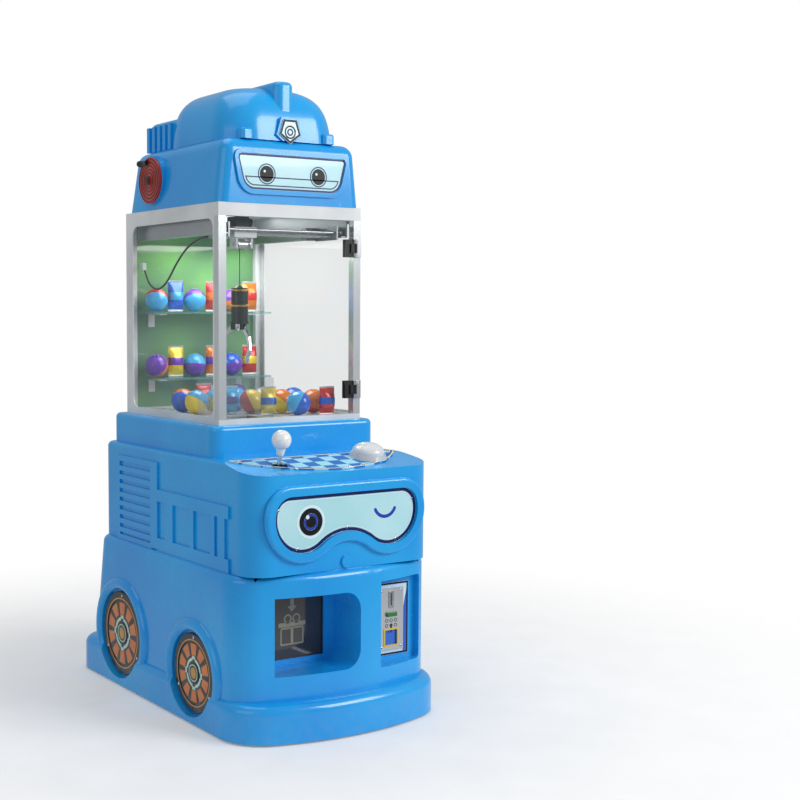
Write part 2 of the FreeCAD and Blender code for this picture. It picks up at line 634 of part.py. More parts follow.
# ---------------------------------------------------------------- prize outlet
def prize_outlet():
    """Flap frame, flap on its rod, the bin behind it and the chute down from the deck."""
    half, centre = S["flap_opening"] / 2, S["flap_centre"]
    front = recess_wall + WALL + GAP
    leaf, wall = S["sheet_metal"], S["chute_wall"]
    low, high = S["flap_low"], S["flap_high"]
    axis_y, axis_z = front + leaf + 7, high + 6
    plate = box("flap_plate", (centre - half - 20, centre + half + 20), (front, front + leaf),
                (low - 12, high + 18))
    window = box("flap_window", (centre - half, centre + half), (front - 1, front + leaf + 1), (low, high))
    ears = []
    for side, sign in SIDES:
        x = centre + sign * (half + 11)
        ears.append(box(f"flap_ear_{side}", (x - 2, x + 2), (front + leaf - 1, axis_y + 6),
                        (axis_z - 6, axis_z + 6)))
    bore = cylinder("flap_frame_bore", S["flap_rod"], (centre - half - 20, axis_y, axis_z), 2 * half + 40,
                    "x")
    node(cut("flap_frame_solid", fuse("flap_frame_mass", plate, *ears), window, bore), "flap_frame")
    rod = cylinder("flap_rod_bar", S["flap_rod"], (centre - half - 13, axis_y, axis_z), 2 * half + 26, "x")
    PINS.append(rod)
    barrel = cylinder("flap_barrel", S["flap_rod"] + 2.5, (centre - half - 8, axis_y, axis_z),
                      2 * half + 16, "x")
    sheet = box("flap_sheet", (centre - half - 6, centre + half + 6),
                (front + leaf + GAP, front + leaf + GAP + S["flap_thickness"]), (low - 4, axis_z))
    bore = cylinder("flap_bore", S["flap_rod"] + S["run_gap"], (centre - half - 9, axis_y, axis_z),
                    2 * half + 18, "x")
    node(cut("flap_solid", fuse("flap_mass", barrel, sheet), bore), "prize_flap")
    # the bin: floor, sides, rear and a top with the chute's hole, open towards the flap
    x = (centre - half - 18, centre + half + 18)
    y, z = (front + leaf + GAP, S["bin_rear"]), (low - 9, high + 16)
    outside = box("bin_outside", x, y, z)
    inside = box("bin_inside", (x[0] + wall, x[1] - wall), (y[0] - 1, y[1] - wall),
                 (z[0] + wall, z[1] - wall))
    hole_x, hole_y = chute_footprint(0)
    hole = box("bin_hole", (hole_x[0] + wall, hole_x[1] - wall), (hole_y[0] + wall, hole_y[1] - wall),
               (z[1] - 10, z[1] + 10))
    duct = box("chute_outside", hole_x, hole_y, (z[1], deck_top - 1))
    bore = box("chute_inside", (hole_x[0] + wall, hole_x[1] - wall), (hole_y[0] + wall, hole_y[1] - wall),
               (z[1] - 1, deck_top + 1))
    node(cut("chute_solid", fuse("chute_mass", outside, duct), inside, hole, bore), "prize_chute")


# ---------------------------------------------------------------- coin entry
def coin_entry():
    """Printed panel, metal coin plate, mechanism, reject button, return flap and cash box."""
    centre, half = S["coin_centre"], S["coin_plate_width"] / 2
    low = S["coin_plate_low"]
    high = low + S["coin_plate_height"]
    face = coin_wall - S["panel_thickness"]
    front = face - S["sheet_metal"]
    mech_x = (centre - half + 4 + GAP, centre + half - 4 - GAP)
    mech_z = (low + 4 + GAP, high - 4 - GAP)
    panel = box("coin_panel_block", (centre - half - 16, centre + half + 16), (face, coin_wall),
                (low - 12, high + 12))
    panel_hole = box("coin_panel_hole", (centre - half + 4, centre + half - 4), (face - 1, coin_wall + 1),
                     (low + 4, high - 4))
    node(cut("coin_panel_solid", panel, panel_hole), "coin_panel")
    slot = box("coin_slot", (centre - 1.4, centre + 1.4), (front - 1, face + 31), (high - 42, high - 12))
    button_z, return_z = (high - 66, high - 56), (low + 12, low + 46)
    button_hole = box("reject_hole", (centre - 14, centre + 14), (front - 1, face + 14), button_z)
    return_hole = box("return_hole", (centre - 17, centre + 17), (front - 1, face + 1), return_z)
    plate = box("coin_plate_block", (centre - half, centre + half), (front, face), (low, high))
    screws = []
    for n, (sx, sz) in enumerate(((-1, 0), (1, 0), (-1, 1), (1, 1))):
        z = low + 7 if sz == 0 else high - 7
        screws.append(cylinder(f"coin_screw_{n}", 3, (centre + sx * (half - 7), front - 1.2, z), 1.2, "y"))
    node(cut("coin_plate_solid", plate, slot, button_hole, return_hole), "coin_plate")
    SCREWS.extend(screws)
    back = face + S["coin_mech_depth"]
    body = box("coin_mech_block", mech_x, (face + GAP, back), mech_z)
    pocket_x, axis_y, axis_z = (centre - 20, centre + 20), face + 6, return_z[1] + 4
    return_pocket = box("return_pocket", pocket_x, (face - 1, face + 48), (low + 8, return_z[1] + 9))
    rod_bore = cylinder("return_rod_bore", 1.5 + S["run_gap"], (centre - 26, axis_y, axis_z), 52, "x")
    node(cut("coin_mech_solid", body, slot, button_hole, return_pocket, rod_bore), "coin_mech")
    button = box("reject_block", (centre - 14 + GAP, centre + 14 - GAP), (front - 5, face + 6),
                 (button_z[0] + GAP, button_z[1] - GAP))
    node(button, "coin_reject_button")
    rod = cylinder("return_rod", 1.5, (centre - 25, axis_y, axis_z), 50, "x")
    leaf = box("return_leaf", (centre - 18.5, centre + 18.5), (face + 1, face + 3),
               (return_z[0] - 1.5, axis_z))
    arm = box("return_arm", (centre - 18.5, centre + 18.5), (face + 1, axis_y),
              (axis_z - 1.4, axis_z + 1.4))
    node(fuse("return_flap_solid", rod, leaf, arm), "coin_return_flap")
    floor = S["pan_height"] + S["sheet_metal"]
    outside = box("cash_outside", (centre - 46, centre + 46), (coin_wall + 10, coin_wall + 140),
                  (floor + GAP, 116))
    inside = box("cash_inside", (centre - 44, centre + 44), (coin_wall + 12, coin_wall + 138),
                 (floor + 2, 114))
    coin_way = box("cash_slot", (centre - 12, centre + 12), (coin_wall + 20, coin_wall + 50), (100, 120))
    node(cut("cash_solid", outside, inside, coin_way), "cash_box")


# ---------------------------------------------------------------- controls on the slope
def lens(half, depth, low, thickness):
    """A plate with a straight rear edge and a bowed front edge, in the slope's own frame."""
    half, depth = float(half), float(depth)
    start, end = Vector(-half, 0, 0), Vector(half, 0, 0)
    wire = Part.Wire([Part.LineSegment(end, start).toShape(),
                      Part.Arc(start, Vector(0, -depth, 0), end).toShape()])
    plate = Part.Face(wire).extrude(Vector(0, 0, thickness))
    plate.translate(Vector(0, 0, low))
    return plate


def controls():
    """Sloping panel, joystick with its two-axis gimbal, and the domed drop button."""
    along, down = S["stick_along"], S["stick_down"]
    thick = S["panel_thickness"]
    plate = on_slope(feature("panel_plate", lens(S["panel_half"], S["panel_depth"], 0, thick)), 0, 0, 0)
    stick_hole = on_slope(cylinder("panel_stick_hole", 19, (0, 0, 0), 20), along, down, -5)
    button_hole = on_slope(cylinder("panel_button_hole", 20, (0, 0, 0), 20), S["button_along"],
                           S["button_down"], -5)
    node(cut("panel_solid", plate, stick_hole, button_hole), "control_panel")
    spots = ((-205, 9), (-90, 8), (60, 8), (205, 9), (-110, 94), (20, 108), (60, 105))
    screws = [on_slope(cylinder(f"panel_screw_{n}", 4, (0, 0, 0), 1.5), x, d, thick) for n,
              (x, d) in enumerate(spots)]
    SCREWS.extend(screws)
    # joystick: everything below is measured from the pivot, which lies under the panel
    drop = -S["pivot_drop"]
    side, tall = 64, 46

    def at_pivot(item, x=0, y=0, z=0, turn=None):
        return on_slope(item, along + x, down - y, drop + z, turn)

    case = at_pivot(box("stick_case_outside", (0, side), (0, side), (0, tall)), -side / 2, -side / 2,
                    -tall + 19)
    room = at_pivot(box("stick_case_inside", (0, side - 6), (0, side - 6), (0, tall + 10)), -side / 2 + 3,
                    -side / 2 + 3, -tall + 22)
    flange = at_pivot(box("stick_flange", (0, 66), (0, 66), (0, 3)), -33, -33, 19)
    mouth = at_pivot(cylinder("stick_mouth", 20, (0, 0, 0), 30), 0, 0, 5)
    trunnion_bore = at_pivot(cylinder("stick_trunnion_bore", 4 + S["run_gap"], (0, 0, 0), 80), -40, 0, 0,
                             AXIS_TURN["x"])
    node(cut("stick_case_solid", fuse("stick_case_mass", case, flange), room, mouth, trunnion_bore),
         "joystick_housing")
    ring = at_pivot(cylinder("gimbal_ring", 23, (0, 0, 0), 12), 0, 0, -6)
    ring_hole = at_pivot(cylinder("gimbal_hole", 17, (0, 0, 0), 14), 0, 0, -7)
    trunnions = [at_pivot(cylinder(f"gimbal_trunnion_{n}", 4, (0, 0, 0), 11), x, 0, 0,
                          AXIS_TURN["x"]) for n, x in enumerate((-31.5, 20.5))]
    pin_bore = at_pivot(cylinder("gimbal_bore", 3 + S["run_gap"], (0, 0, 0), 60), 0, -30, 0, AXIS_TURN["y"])
    ring_solid = cut("gimbal_ring_solid", ring, ring_hole)
    node(cut("gimbal_solid", fuse("gimbal_mass", ring_solid, *trunnions), pin_bore), "joystick_gimbal")
    length = S["stick_rise"] + S["pivot_drop"] + 18
    shaft = at_pivot(cylinder("stick_rod", S["stick_radius"], (0, 0, 0), length), 0, 0, -18)
    cross = at_pivot(cylinder("stick_cross_pin", 3, (0, 0, 0), 44), 0, -22, 0, AXIS_TURN["y"])
    boss = at_pivot(cylinder("stick_boss", 9, (0, 0, 0), 14), 0, 0, -7)
    node(fuse("stick_solid", shaft, cross, boss), "joystick_shaft")
    ball = doc.addObject("Part::Sphere", "knob_ball")
    bind(ball, "Radius", S["knob_radius"])
    neck = at_pivot(cone("knob_neck", 8, 14, (0, 0, 0), 26), 0, 0, length - 44)
    at_pivot(ball, 0, 0, length - 10)
    knob_bore = at_pivot(cylinder("knob_bore", S["stick_radius"], (0, 0, 0), length), 0, 0, -18)
    node(cut("knob_solid", fuse("knob_mass", ball, neck), knob_bore), "joystick_knob")
    # drop button: bezel on the panel, holder through it, and the domed cap that travels in both
    along_b, down_b = S["button_along"], S["button_down"]
    travel, dome = S["button_travel"], S["dome_radius"]

    def at_button(item, rise):
        return on_slope(item, along_b, down_b, rise)

    skirt = at_button(cone("bezel_skirt", S["button_radius"], S["button_radius"] - 4, (0, 0, 0), 10), thick)
    well = at_button(cylinder("bezel_well", dome + GAP * 2, (0, 0, 0), 20), thick)
    tube = at_button(cylinder("holder_tube", 18, (0, 0, 0), 45), thick - 45)
    lip = at_button(cylinder("holder_lip", dome + 2, (0, 0, 0), 1.5), thick)
    bore = at_button(cylinder("holder_bore", 8 + S["run_gap"], (0, 0, 0), 60), thick - 38)
    node(cut("bezel_solid", fuse("bezel_mass", cut("bezel_ring", skirt, well), tube, lip), bore),
         "button_bezel")
    cap = at_button(cylinder("cap_disc", dome, (0, 0, 0), 8), thick + 2 + travel)
    stem = at_button(cylinder("cap_stem", 8, (0, 0, 0), 34), thick + travel - 30)
    bulge = doc.addObject("Part::Ellipsoid", "cap_bulge")
    for prop, size in (("Radius1", 20), ("Radius2", dome), ("Radius3", dome)):
        bind(bulge, prop, size)
    bulge.Angle1 = 0
    at_button(bulge, thick + 10 + travel)
    node(fuse("button_solid", cap, stem, bulge), "drop_button")


# ---------------------------------------------------------------- cabinet
def cabinet():
    """Welded frame, corner posts, side frames, glass, back panel, deck, roof plate and lamp."""
    post, sheet, sill = S["post"], S["sheet_metal"], S["sill"]
    inner = cab_half - post
    side = cab_half - sheet
    y_out, y_in = (-cab_front, cab_rear), (-cab_front + post, cab_rear - post)
    z_out, z_in = (cab_low, cab_top), (cab_low + sill, cab_top - S["header_height"])
    mass = box("frame_mass", (-side, side), y_out, z_out)
    caps = [box(f"frame_bar_{n}", (-cab_half, cab_half), (y_out[0], y_in[0]), z) for n,
            z in enumerate(((z_out[0], z_in[0]), (z_in[1], z_out[1])))]
    void = box("frame_void", (-inner, inner), y_in, (z_out[0] - 1, z_out[1] + 1))
    sides = box("frame_sides", (-cab_half - 1, cab_half + 1), y_in, z_in)
    ends = box("frame_ends", (-inner, inner), (y_out[0] - 1, y_out[1] + 1), z_in)
    corners = []
    for name, sign in SIDES:
        middle = sign * (cab_half + inner) / 2
        corners.append(box(f"frame_corner_{name}", (middle - 12, middle + 12), (y_out[0] - 1, y_in[0]), z_in))
    opened = cut("frame_opened", fuse("frame_all", mass, *caps), void, sides, ends, *corners)
    lid = box("frame_lid", (-inner - 1, inner + 1), (y_in[0] - 1, y_in[1] + 1),
              (cab_top - 4, cab_top - 4 + sheet))
    node(fuse("frame_solid", opened, lid), "cabinet_frame")
    posts = [box(f"post_{name}", (inner, cab_half) if sign > 0 else (-cab_half, -inner),
                 (y_out[0], y_in[0]), z_in) for name, sign in SIDES]
    node(group("post_group", *posts), "corner_posts")
    frames, panes = [], []
    for name, sign in SIDES:
        x = (side, cab_half) if sign > 0 else (-cab_half, -side)
        plate = box(f"side_plate_{name}", x, (y_in[0], y_out[1]), z_out)
        hole = box(f"side_window_{name}", (x[0] - 1, x[1] + 1), (y_in[0] + 6, y_in[1] - 16),
                   (z_in[0] + 5, z_in[1] - 5))
        along = lambda edge: abs(edge.tangentAt(edge.FirstParameter).x) > 0.99
        frames.append(cut(f"side_frame_{name}", plate,
                          rounded(f"side_hole_{name}", hole, S["window_corner"], along)))
        glass_x = (side - S["glass"], side) if sign > 0 else (-side, -side + S["glass"])
        panes.append(box(f"side_pane_{name}", glass_x, (y_in[0] + GAP, y_in[1] - GAP),
                         (z_in[0] + GAP, z_in[1] - GAP)))
    node(group("side_frame_group", *frames), "side_frames")
    node(group("side_pane_group", *panes), "side_glass")
    node(box("back_sheet", (-inner + GAP, inner - GAP), (y_in[1] + post - 6, y_in[1] + post - 3),
             (z_in[0] + GAP, z_in[1] - GAP)), "back_panel")
    inside_x, inside_y = (-inner + GAP, inner - GAP), (y_in[0] + GAP, y_in[1] - GAP)
    deck = box("deck_board", inside_x, inside_y, (cab_low, deck_top))
    node(cut("deck_solid", deck, box("deck_hole", *chute_footprint(GAP), (cab_low - 1, deck_top + 1))),
         "prize_deck")
    hole_x, hole_y = chute_footprint(GAP)
    guard_top = deck_top + 96
    guard_long = box("guard_right", (hole_x[1], hole_x[1] + 3), (inside_y[0] + 1, hole_y[1] + 3),
                     (deck_top, guard_top))
    guard_cross = box("guard_rear", (inside_x[0] + 1, hole_x[1]), (hole_y[1], hole_y[1] + 3),
                      (deck_top, guard_top))
    node(fuse("guard_solid", guard_long, guard_cross), "chute_guard")
    node(box("lamp_bar", (-120, 120), (inside_y[1] - 40, inside_y[1] - 16), (cab_top - 18, cab_top - 4)),
         "cabinet_lamp")
    shelves, brackets = [], []
    back = y_in[1] + post - 6
    for n, top in enumerate((S["shelf_lower"], S["shelf_upper"])):
        low = top - S["shelf_thickness"]
        shelves.append(box(f"shelf_{n}", (-inner + 4, inner - 4), (back - S["shelf_depth"], back - 1),
                           (low, top)))
        for name, sign in SIDES:
            x = (sign * 130 - 9, sign * 130 + 9)
            arm = box(f"bracket_arm_{n}_{name}", x, (back - 70, back), (low - 3, low))
            leg = box(f"bracket_leg_{n}_{name}", x, (back - 3, back), (low - 34, low - 3))
            brackets.append(fuse(f"bracket_{n}_{name}", arm, leg))
    start = CABLE_ROUTE[0]
    brackets.append(box("cable_clip", (-inner, start[0]), (start[1] - 8, start[1] + 8),
                        (start[2] + 1.2, start[2] + 19)))
    node(group("shelf_group", *shelves), "glass_shelves")
    node(group("bracket_group", *brackets), "shelf_brackets")


def front_door():
    """Frameless glass door with two clamp hinges on the right corner post."""
    inner = cab_half - S["post"]
    z = (cab_low + S["sill"] + GAP, cab_top - S["header_height"] - GAP)
    glass_y = (-cab_front + 1, -cab_front + 1 + S["glass"])
    node(box("door_pane", (-inner + 0.6, inner - 5), glass_y, z), "door_glass")
    axis_x, axis_y = inner + 2, -cab_front - 5
    clamps, leaves, pins = [], [], []
    for n, low in enumerate((cab_low + 50, cab_top - 117)):
        high = low + 42
        body = box(f"clamp_body_{n}", (inner - 26, inner - 3), (glass_y[0] - 4, glass_y[1] + 4),
                   (low, high))
        slot = box(f"clamp_slot_{n}", (inner - 27, inner - 4.7), (glass_y[0] - GAP, glass_y[1] + GAP),
                   (low - 1, high + 1))
        arm = box(f"clamp_arm_{n}", (inner - 12, axis_x), (axis_y - 2, glass_y[0] - 3),
                  (low + 10, high - 10))
        barrel = cylinder(f"clamp_barrel_{n}", 4.5, (axis_x, axis_y, low + 10), high - low - 20)
        bore = cylinder(f"clamp_bore_{n}", 2 + S["run_gap"], (axis_x, axis_y, low), high - low)
        clamps.append(cut(f"clamp_{n}", fuse(f"clamp_mass_{n}", body, arm, barrel), slot, bore))
        knuckles = []
        for end, at in (("low", (low, low + 10 - GAP)), ("high", (high - 10 + GAP, high))):
            ring = cylinder(f"leaf_barrel_{n}_{end}", 4.5, (axis_x, axis_y, at[0]), at[1] - at[0])
            knuckles += [ring, box(f"leaf_arm_{n}_{end}", (axis_x, axis_x + 12), (axis_y + 1, -cab_front),
                                   at)]
        plate = box(f"leaf_plate_{n}", (axis_x + 5, cab_half), (-cab_front - 3, -cab_front), (low, high))
        pin_bore = cylinder(f"leaf_bore_{n}", 2, (axis_x, axis_y, low - 1), high - low + 2)
        leaves.append(cut(f"leaf_{n}", fuse(f"leaf_mass_{n}", plate, *knuckles), pin_bore))
        pins.append(cylinder(f"door_pin_{n}", 2, (axis_x, axis_y, low - 1), high - low + 2))
    node(group("clamp_group", *clamps), "door_clamps")
    LEAVES.extend(leaves)
    PINS.extend(pins)


# ---------------------------------------------------------------- crane
def crane():
    """Rails, the bridge on its two wheel axles, the trolley on the bridge rods, drum and cord."""
    x0, y0 = S["trolley_home"], S["bridge_home"]
    low, sheet = S["rail_low"], S["sheet_metal"]
    rails = []
    y = (-cab_front + S["post"] + 4, cab_rear - S["post"] - 4)
    for name, sign in SIDES:
        web = (S["rail_half"] - sheet - 1, S["rail_half"] - 1)
        flange = (S["rail_half"] - S["rail_width"], S["rail_half"] - 1)
        if sign < 0:
            web, flange = (-web[1], -web[0]), (-flange[1], -flange[0])
        rails.append(fuse(f"rail_{name}", box(f"rail_web_{name}", web, y, (low, cab_top - 4)),
                          box(f"rail_flange_{name}", flange, y, (low, low + sheet))))
    node(group("rail_group", *rails), "bridge_rails")
    rod_z = low + 6
    axle_z = low + sheet + S["roller_radius"] + GAP
    spread, offset = S["rod_spread"] - 4, 36
    trucks = []
    axle_bores = [cylinder(f"truck_axle_bore_{n}", S["axle_radius"] + S["run_gap"], (-160, y0 + d, axle_z),
                           320, "x") for n, d in enumerate((-offset, offset))]
    rod_bores = [cylinder(f"truck_rod_bore_{n}", S["rod_radius"], (-160, y0 + d, rod_z), 320, "x") for n,
                 d in enumerate((-spread, spread))]
    for name, sign in SIDES:
        x = (S["truck_half"] - 4, S["truck_half"]) if sign > 0 else (-S["truck_half"], -S["truck_half"] + 4)
        trucks.append(box(f"truck_plate_{name}", x, (y0 - 46, y0 + 46), (low - 6, low + 28)))
    plates = cut("trucks_solid", group("truck_group", *trucks), *axle_bores, *rod_bores)
    rods = [cylinder(f"bridge_rod_{n}", S["rod_radius"], (-S["truck_half"], y0 + d, rod_z),
                     2 * S["truck_half"], "x") for n, d in enumerate((-spread, spread))]
    motor = box("motor_case", (118, S["truck_half"] - 4), (y0 + offset + 4, y0 + offset + 28),
                (low - 4, low + 26))
    node(group("bridge_group", plates, motor, *rods), "bridge_frame")
    for name, d in (("front", -offset), ("rear", offset)):
        axle = cylinder(f"axle_bar_{name}", S["axle_radius"], (-168, y0 + d, axle_z), 336, "x")
        wheels = [cylinder(f"axle_wheel_{name}_{n}", S["roller_radius"], (x, y0 + d, axle_z), 8, "x") for n,
                  x in enumerate((-167, 159))]
        node(fuse(f"axle_{name}_solid", axle, *wheels), f"bridge_axle_{name}")
    # trolley with two drum cheeks, its motor, the drum and the cord that hangs on the claw's axis
    body = box("trolley_block", (x0 - 30, x0 + 30), (y0 - 28, y0 + 28), (low - 6, low + 18))
    drum_y, drum_z = y0 - S["drum_radius"] - 1 - GAP, low - 22
    cheeks = [box(f"cheek_{n}", (x, x + 4), (drum_y - 12, drum_y + 18), (drum_z - 9, low - 5)) for n,
              x in enumerate((x0 - 22, x0 + 18))]
    bores = [cylinder(f"trolley_bore_{n}", S["rod_radius"] + S["run_gap"], (x0 - 31, y0 + d, rod_z), 62,
                      "x") for n, d in enumerate((-spread, spread))]
    drum_bore = cylinder("drum_bore", S["axle_radius"] + S["run_gap"], (x0 - 30, drum_y, drum_z), 60, "x")
    node(cut("trolley_solid", fuse("trolley_mass", body, *cheeks), *bores, drum_bore), "trolley_body")
    case = box("hoist_case", (x0 - 22, x0 + 14), (y0 - 20, y0 + 20), (low + 18, low + 42))
    can = cylinder("hoist_can", 10, (x0 + 14, y0, low + 30), 16, "x")
    node(fuse("hoist_motor_solid", case, can), "hoist_motor")
    barrel = cylinder("drum_barrel", S["drum_radius"], (x0 - 15, drum_y, drum_z), 30, "x")
    flanges = [cylinder(f"drum_flange_{n}", S["drum_radius"] + 4, (x, drum_y, drum_z), 1.5, "x") for n,
               x in enumerate((x0 - 16, x0 + 14.5))]
    shaft = cylinder("drum_shaft", S["axle_radius"], (x0 - 25, drum_y, drum_z), 50, "x")
    node(fuse("drum_solid", barrel, shaft, *flanges), "hoist_drum")
    node(cylinder("cord_line", 1, (x0, y0, S["claw_top"] + GAP), drum_z - S["claw_top"] - GAP),
         "hoist_cord")


# the cable's route: wall clip near the rear, a low loop, then up to the bridge's left truck
CABLE_ROUTE = [(-166, 262, 1032), (-163, 252, 1004), (-160, 226, 985), (-157, 194, 985),
               (-154.5, 166, 1000),
               (-152.5, 142, 1024), (-151, 116, 1050), (-150, 86, 1072), (-150, 54, 1088), (-150, 20, 1098),
               (-150, -12, 1103), (-150, -38.7, 1104)]


def tube_along(points, radius):
    """A round tube along straight runs joined by tangent arcs; returns the solid and the arc radii."""
    points = [Vector(*p) for p in points]
    edges, radii, start = [], [], points[0]
    for before, corner, after in zip(points, points[1:], points[2:]):
        come, leave = (before - corner), (after - corner)
        reach = 0.45 * min(come.Length, leave.Length)
        half = (math.pi - come.getAngle(leave)) / 2
        radii.append(reach / math.tan(half))
        come.normalize()
        leave.normalize()
        first, last = corner + come * reach, corner + leave * reach
        inward = (come + leave).normalize()
        centre = corner + inward * math.hypot(reach, radii[-1])
        middle = centre - inward * radii[-1]
        edges += [Part.LineSegment(start, first).toShape(), Part.Arc(first, middle, last).toShape()]
        start = last
    edges.append(Part.LineSegment(start, points[-1]).toShape())
    path = Part.Wire(edges)
    ring = Part.Wire([Part.Circle(points[0], points[1] - points[0], radius).toShape()])
    return path.makePipeShell([ring], True, False), radii, path.Length


def cable():
    """Flat-lying signal cable from the wall clip to the bridge, and the clip itself."""
    radius = 2.5
    tube, radii, length = tube_along(CABLE_ROUTE, radius)
    print("cable arc radii:", [round(r) for r in radii], "length:", round(length))
    print("cable volume over section times length:",
          round(tube.Volume / (math.pi * radius ** 2 * length), 4))
    node(feature("cable_tube", tube), "bridge_cable")


def claw():
    """Solenoid head, plunger and three fingers that its disc lifts by their short levers."""
    x0, y0, top = S["trolley_home"], S["bridge_home"], S["claw_top"]
    low = top - S["claw_height"]
    arm = S["finger_pivot"] + 2
    pivot_z = low - 14

    def at_axis(radius, z, length, name):
        return cylinder(name, radius, (x0, y0, z), length)

    head = at_axis(S["claw_radius"], low, S["claw_height"] - 6, "head_can")
    cap = cone("head_cap", 12, 5, (x0, y0, top - 6), 6)
    hub = at_axis(S["claw_radius"] + 2, low - 6, 6, "head_hub")
    turns = [Rotation(Vector(0, 0, 1), 30 + 120 * n) for n in range(3)]

    def spoke(name, turn, r, t, z):
        """A box in a finger's own radial frame: radial, tangential and vertical spans."""
        part = doc.addObject("Part::Box", name)
        for prop, (start, end) in zip(("Length", "Width", "Height"), (r, t, z)):
            bind(part, prop, as_size(end) - start)
        corner = turn.multVec(Vector(float(r[0]), float(t[0]), 0))
        return place(part, x0 + corner.x, y0 + corner.y, z[0], turn)

    ears, ear_bores, pins = [], [], []
    for n, turn in enumerate(turns):
        for side, t in (("a", (2.8, 5.8)), ("b", (-5.8, -2.8))):
            ears.append(spoke(f"ear_{n}_{side}", turn, (10.5, arm + 5), t, (pivot_z - 5, low - 5)))
        start = turn.multVec(Vector(float(arm), -6, 0))
        across = turn.multiply(AXIS_TURN["y"])
        pin = cylinder(f"finger_pin_{n}", 1.5, (0, 0, 0), 12)
        place(pin, x0 + start.x, y0 + start.y, pivot_z, across)
        bore = cylinder(f"ear_bore_{n}", 1.5, (0, 0, 0), 12)
        place(bore, x0 + start.x, y0 + start.y, pivot_z, across)
        pins.append(pin)
        ear_bores.append(bore)
    plunger_bore = at_axis(4 + S["run_gap"], low - 10, 55, "plunger_bore")
    head_solid = cut("claw_head_solid", fuse("claw_head_mass", head, cap, hub, *ears), plunger_bore,
                     *ear_bores)
    node(group("claw_head_group", head_solid, *pins), "claw_head")
    disc_top = pivot_z - 3
    node(fuse("plunger_solid", at_axis(4, disc_top - 4, 44, "plunger_rod"),
              at_axis(9, disc_top - 4, 4, "plunger_disc")), "claw_plunger")
    # finger outline in its radial plane, measured from the pivot: lever, elbow, reach and tip
    inner_side = [(-9, 2.5), (-9, -2.5), (-2, -2.5), (4, -9), (22, -25), (27, -50), (12, -80)]
    outer_side = [(18, -82), (34, -52), (29, -21), (8, 1), (4, 4), (-4, 4)]
    outline = [Vector(float(arm) + r, -2.5, float(pivot_z) + z) for r, z in inner_side + outer_side]
    blade = Part.Face(Part.makePolygon(outline + outline[:1])).extrude(Vector(0, 5, 0))
    hole = Part.makeCylinder(1.5 + float(S["run_gap"]), 12, Vector(float(arm), -6, float(pivot_z)),
                             Vector(0, 1, 0))
    for n, turn in enumerate(turns):
        finger = feature(f"finger_blade_{n}", blade.cut(hole))
        place(finger, x0, y0, 0, turn)
        node(finger, f"claw_finger_{n + 1}")


# ---------------------------------------------------------------- roof
def visor_outline(y, grow):
    """Rounded trapezium of the visor panel as a closed wire on a plane of constant y."""
    low = float(cab_top + S["visor_low"]) - grow
    high = float(cab_top + S["visor_low"] + S["visor_height"]) + grow
    top_half, low_half = float(S["visor_top_half"]) + grow, float(S["visor_low_half"]) + grow + 14
    corners = [Vector(-top_half, y, high), Vector(top_half, y, high), Vector(low_half, y, low),
               Vector(-low_half, y, low)]
    return Part.makePolygon(corners + corners[:1])


def visor_slab(y, grow, depth):
    """The visor outline made thick, its lower corners round and its upper ones eased."""
    block = slab(visor_outline(y, grow), depth)
    middle = float(cab_top + S["visor_low"] + S["visor_height"] / 2)
    uprights = [e for e in block.Edges if abs(e.tangentAt(e.FirstParameter).y) > 0.99]
    block = block.makeFillet(34 + grow, [e for e in uprights if e.CenterOfMass.z < middle])
    uprights = [e for e in block.Edges if abs(e.tangentAt(e.FirstParameter).y) > 0.99]
    uprights = [e for e in uprights if e.Length < depth * 1.01]
    return block.makeFillet(9 + grow, [e for e in uprights if e.CenterOfMass.z > middle + 30])


def badge_prism(y, depth, grow):
    """A five-sided badge, point down, extruded along Y."""
    radius, z = float(S["badge_radius"]) + grow, float(roof_top + 24)
    corners = [Vector(radius * math.sin(math.radians(180 + 72 * n)), y,
                      z + radius * math.cos(math.radians(180 + 72 * n))) for n in range(5)]
    return slab(Part.makePolygon(corners + corners[:1]), depth)


def dome_section(shrink, height):
    """One level outline of the dome, drawn in by shrink: small corners in front, large ones behind."""
    half, front, rear = (float(S[name]) - shrink for name in ("dome_half", "dome_front", "dome_rear"))
    fore, aft = float(S["dome_fore_corner"]) - shrink / 3, float(S["dome_rear_corner"]) - shrink
    front = -front
    corners = ((-1, front, 1, fore), (1, front, 1, fore), (1, rear, -1, aft), (-1, rear, -1, aft))
    points = []
    for n, (side, y, inward, radius) in enumerate(corners):
        along_y = Vector(side * half, y + inward * radius, height)
        along_x = Vector(side * (half - radius), y, height)
        lean = radius * (1 - math.sqrt(0.5))
        middle = Vector(side * (half - lean), y + inward * lean, height)
        points.append((along_y, middle, along_x) if n % 2 == 0 else (along_x, middle, along_y))
    edges = []
    for n, (start, middle, end) in enumerate(points):
        edges.append(Part.Arc(start, middle, end).toShape())
        edges.append(Part.LineSegment(end, points[(n + 1) % 4][0]).toShape())
    return Part.Wire(edges)


def dome_loft(name, inset):
    """The dome as one smooth skin through level outlines that close in towards its top."""
    rise = float(S["dome_top"]) - float(roof_top) - inset
    levels = ((0, 0), (0.3, 3), (0.55, 11), (0.74, 24), (0.88, 44), (0.96, 68), (1, 100))
    sections = [dome_section(shrink + inset, float(roof_top) + share * rise) for share, shrink in levels]
    return feature(name, Part.makeLoft(sections, True, False))


